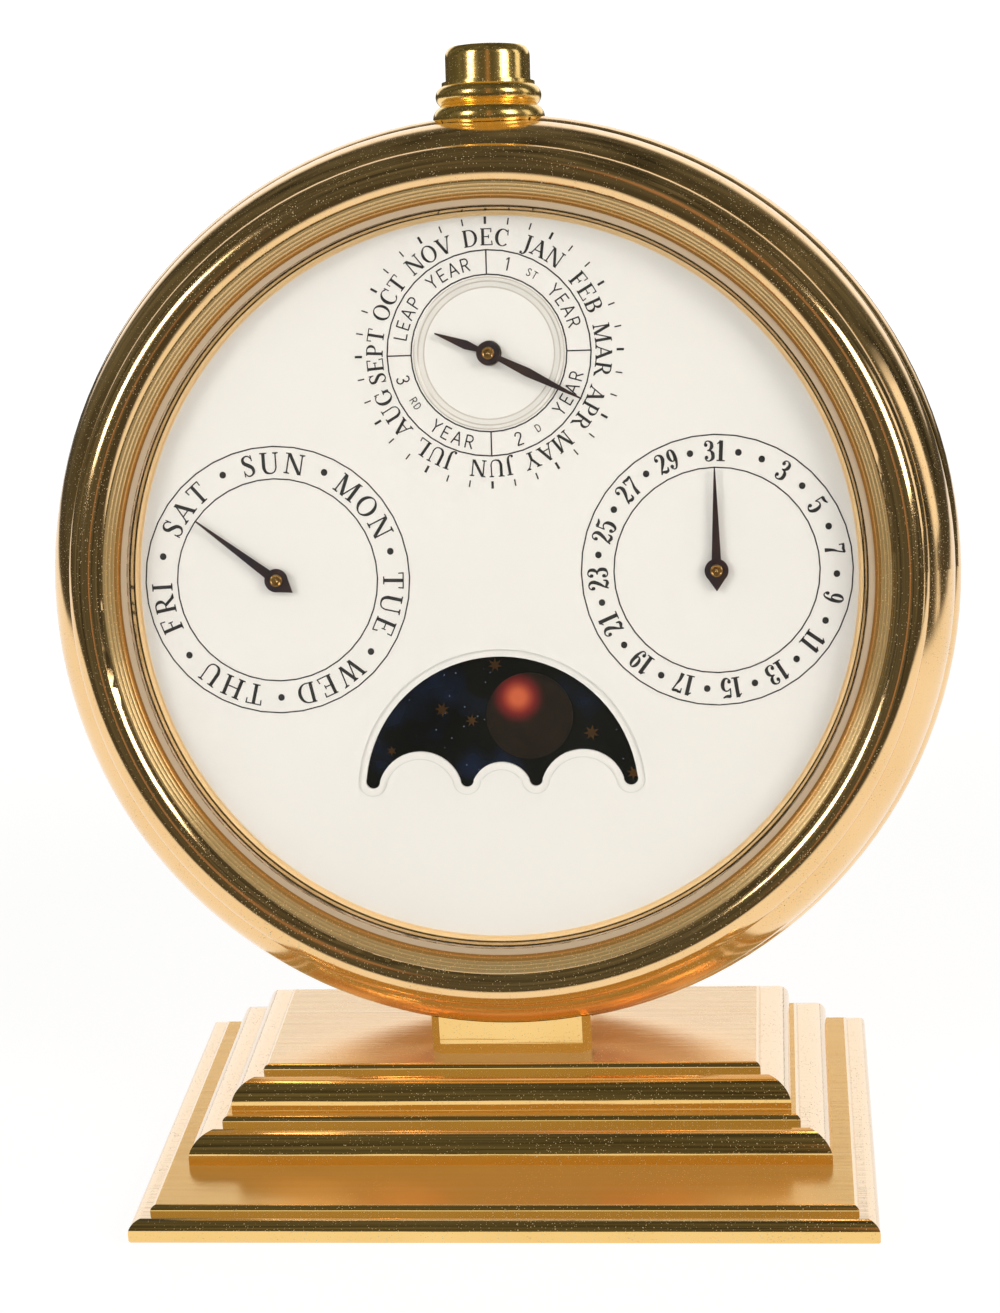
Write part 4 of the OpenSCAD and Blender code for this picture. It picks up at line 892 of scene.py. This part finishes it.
add(tree, "BsdfPrincipled", {"Base Color": rim_tint, "Roughness": 0.12, "Coat Weight": 0.5}, into=surface)
new_piece("sunk_disc_edge", shape, quads, glossy, "calendar", "dial_enamel", smooth=True)
print("fillet quads:", len(quads))

# %% [markdown]
# ## Spring under the button
# A pushed button presses its spring together. The solid model's coil gives way to one in finer
# mesh. Its centre line is a helix, (2.45 cos a, rise, 2.45 sin a),
# and the wire's section goes round it: radius + 0.25 cos b, rise + 0.25 sin b. The end turns lie
# closer together than the middle ones, as on any ground spring.

# %% Button spring
SEAT, FREE, TRAVEL = 60.925, 6.4, 2.0
COIL, WIRE, TURNS, AXIS_Z = 2.45, 0.25, 6, -9.0
steps, sides = TURNS * 48, 12
t = np.linspace(0, 1, steps + 1)[:, None]
a, b = 2 * np.pi * TURNS * t, 2 * np.pi * np.arange(sides) / sides
rise = SEAT + WIRE + 0.02 + (FREE - 2 * WIRE - 0.04) * (t - 0.1 * np.sin(2 * np.pi * t) / np.pi)
reach = COIL + WIRE * np.cos(b) + 0 * t
wire = np.stack([reach * np.cos(a), rise + WIRE * np.sin(b), AXIS_Z + reach * np.sin(a)], -1)
i, k = np.meshgrid(np.arange(steps), np.arange(sides), indexing="ij")
low, high = i * sides + k, i * sides + (k + 1) % sides
walls = np.stack([low, high, high + sides, low + sides], -1).reshape(-1, 4).tolist()
caps = [list(range(sides))[::-1], list(range(steps * sides, (steps + 1) * sides))]
coil = new_piece("button_coil", on_case(wire.reshape(-1, 3)), walls + caps, steel, "calendar", "steel", smooth=True)
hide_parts("button_spring")
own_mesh(coil)
print("the spring keeps", round((FREE - TRAVEL) / FREE, 3), "of its length when the button is pushed")

# %% [markdown]
# ## Floor, room and lamps
# The calendar stands on white paper that runs up behind it. Polished metal needs something dark to
# reflect as well, or it looks like cream. So the paper ends a hand's breadth in front of the
# stand, the room beyond it and overhead is dim, and two soft boxes hang in front, to the left and
# to the right. The metal sees the paper's edge, which gives each roll its dark band.

# %% What a ray may see
def first_sight(tree):
    """(1 for the camera's own rays, also on through glass, 1 for rays that some metal has mirrored before)."""
    path = add(tree, "LightPath").node.outputs
    bounced = add(tree, "Math MINIMUM", path["Glossy Depth"], 1.0)
    straight = add(tree, "Math SUBTRACT", 1.0, bounced)
    through = add(tree, "Math MULTIPLY", path["Is Transmission Ray"], straight)
    return add(tree, "Math MAXIMUM", path["Is Camera Ray"], through), bounced


def nook_light(tree):
    """0.5 for rays that two metal faces have passed on, where a fuller room would show more bright things."""
    return add(tree, "MapRange", add(tree, "LightPath", get="Glossy Depth"), 1.4, 1.6, 0, 0.5)


print("a material can tell first rays from mirrored ones")

# %% Paper floor
NOOK = hue("#F0E4A4")
paper, tree, surface = fresh("white_paper_sweep")
point = add(tree, "NewGeometry", get="Position")
spot = add(tree, "SeparateXYZ", point).node.outputs
# Along an axis, the paper that metal mirrors ends at the first place, in metres, and is whole at the
# second.
laid = 1.0
for axis, gone, whole in ((1, -0.22, -0.11), (1, 0.55, 0.4), (0, -0.56, -0.44), (0, 0.4, 0.3)):
    edge = add(tree, "MapRange", spot[axis], gone, whole, interpolation_type="SMOOTHSTEP")
    laid = add(tree, "Math MULTIPLY", edge, laid)
# A strip of it, 7 cm wide, goes on to the right.
strip = add(tree, "Math COMPARE", spot[1], 0.03, 0.035)
strip = add(tree, "Math MULTIPLY", strip, add(tree, "Math GREATER_THAN", spot[0], 0.4))
laid = add(tree, "Math MAXIMUM", strip, laid)
fade = add(tree, "MapRange", add(tree, "VectorMath LENGTH", point), 0.12, 0.6, 1.27, 1.5)
seen, bounced = first_sight(tree)
matte = add(tree, "BsdfDiffuse", (0.9, 0.9, 0.9, 1))
glow = add(tree, "Emission", (1, 1, 1, 1), 1.05)
shown = add(tree, "MixShader", 0.72, matte, add(tree, "Emission", (1, 1, 1, 1), fade))
dim = add(tree, "Mix RGBA", nook_light(tree), hue("#4C4A40"), NOOK)
mirrored = add(tree, "MixShader", laid, add(tree, "Emission", dim, 1.0), glow)
plain = add(tree, "MixShader", seen, matte, shown)
add(tree, "MixShader", bounced, plain, mirrored, into=surface)

mesh = bpy.data.meshes.new("paper_floor")
mesh.from_pydata([(-6, -3, 0), (6, -3, 0), (6, 9, 0), (-6, 9, 0)], [], [(0, 1, 2, 3)])
floor = bpy.data.objects.new("paper_floor", mesh)
bpy.context.scene.collection.objects.link(floor)
mesh.materials.append(paper)
print("paper on the floor, 12 m square")

# %% Dim room
world = bpy.data.worlds.new("studio_room")
world.use_nodes = True
bpy.context.scene.world = world
tree = world.node_tree
tree.nodes.clear()
out = tree.nodes.new("ShaderNodeOutputWorld")
sight = add(tree, "TexCoord", get="Generated")
x, y, z = add(tree, "SeparateXYZ", sight).node.outputs
# The paper rises behind the stand, and its strip goes on to the right.
behind = add(tree, "MapRange", y, 0.7, 0.86, interpolation_type="SMOOTHSTEP")
low = add(tree, "MapRange", z, 0.46, 0.62, 1.0, 0.0, interpolation_type="SMOOTHSTEP")
to_side = add(tree, "MapRange", x, 0.86, 0.93, interpolation_type="SMOOTHSTEP")
strip = add(tree, "Math MULTIPLY", to_side, add(tree, "Math COMPARE", y, 0.12, 0.13))
sweep = add(tree, "Math MAXIMUM", add(tree, "Math MULTIPLY", behind, low), strip)
# Dim things stand about: noise three times as tall as it is wide, which metal shows as fine bands.
tall = add(tree, "VectorMath MULTIPLY", sight, (5.0, 5.0, 1.6))
things = add(tree, "MapRange", add(tree, "TexNoise", tall, 1.0, 5.0, 0.65), 0.36, 0.66)
dim = add(tree, "Mix RGBA", things, hue("#2B2C26"), hue("#737262"))
# Someone stands in front: a narrow warm column, no wider than 8 degrees.
beside = add(tree, "VectorMath DOT_PRODUCT", sight, (0.994, 0.105, 0.0))
front = add(tree, "MapRange", y, -0.7, -0.8)
figure = add(tree, "Math MULTIPLY", add(tree, "Math COMPARE", beside, 0.0, 0.07), front)
dim = add(tree, "Mix RGBA", figure, dim, hue("#A8876A"))
dim = add(tree, "Mix RGBA", nook_light(tree), dim, NOOK)
room = add(tree, "Mix RGBA", sweep, dim, (1.2, 1.2, 1.2, 1))
seen, _ = first_sight(tree)
colour = add(tree, "Mix RGBA", seen, room, (1, 1, 1, 1))
add(tree, "Background", colour, 1.0, into=out.inputs[0])
print("the room is dim in front and white behind")


# %% Soft boxes
def soft_box(name, at, width, height, power, tint="#FFFFFF"):
    """A rectangle of light at `at`, in metres, that faces the middle of the case."""
    lamp = bpy.data.lights.new(name, "AREA")
    lamp.shape = "RECTANGLE"
    lamp.size, lamp.size_y = width, height
    lamp.energy = power
    lamp.color = hue(tint)[:3]
    holder = bpy.data.objects.new(name, lamp)
    bpy.context.scene.collection.objects.link(holder)
    away = np.array(at) - [0, 0, 0.07]
    away = away / np.linalg.norm(away)
    side = np.cross([0, 0, 1], away)
    side = side / np.linalg.norm(side)
    turn = np.eye(4)
    turn[:3, 0], turn[:3, 1], turn[:3, 2], turn[:3, 3] = side, np.cross(away, side), away, at
    holder.matrix_world = Matrix(turn.tolist())


soft_box("soft_box_left", (-0.75, -0.75, 0.62), 0.3, 0.4, 2.9)
soft_box("soft_box_right", (0.9, -0.62, 0.6), 0.42, 0.5, 4.2, "#FFFAF4")
print("two soft boxes are lit")
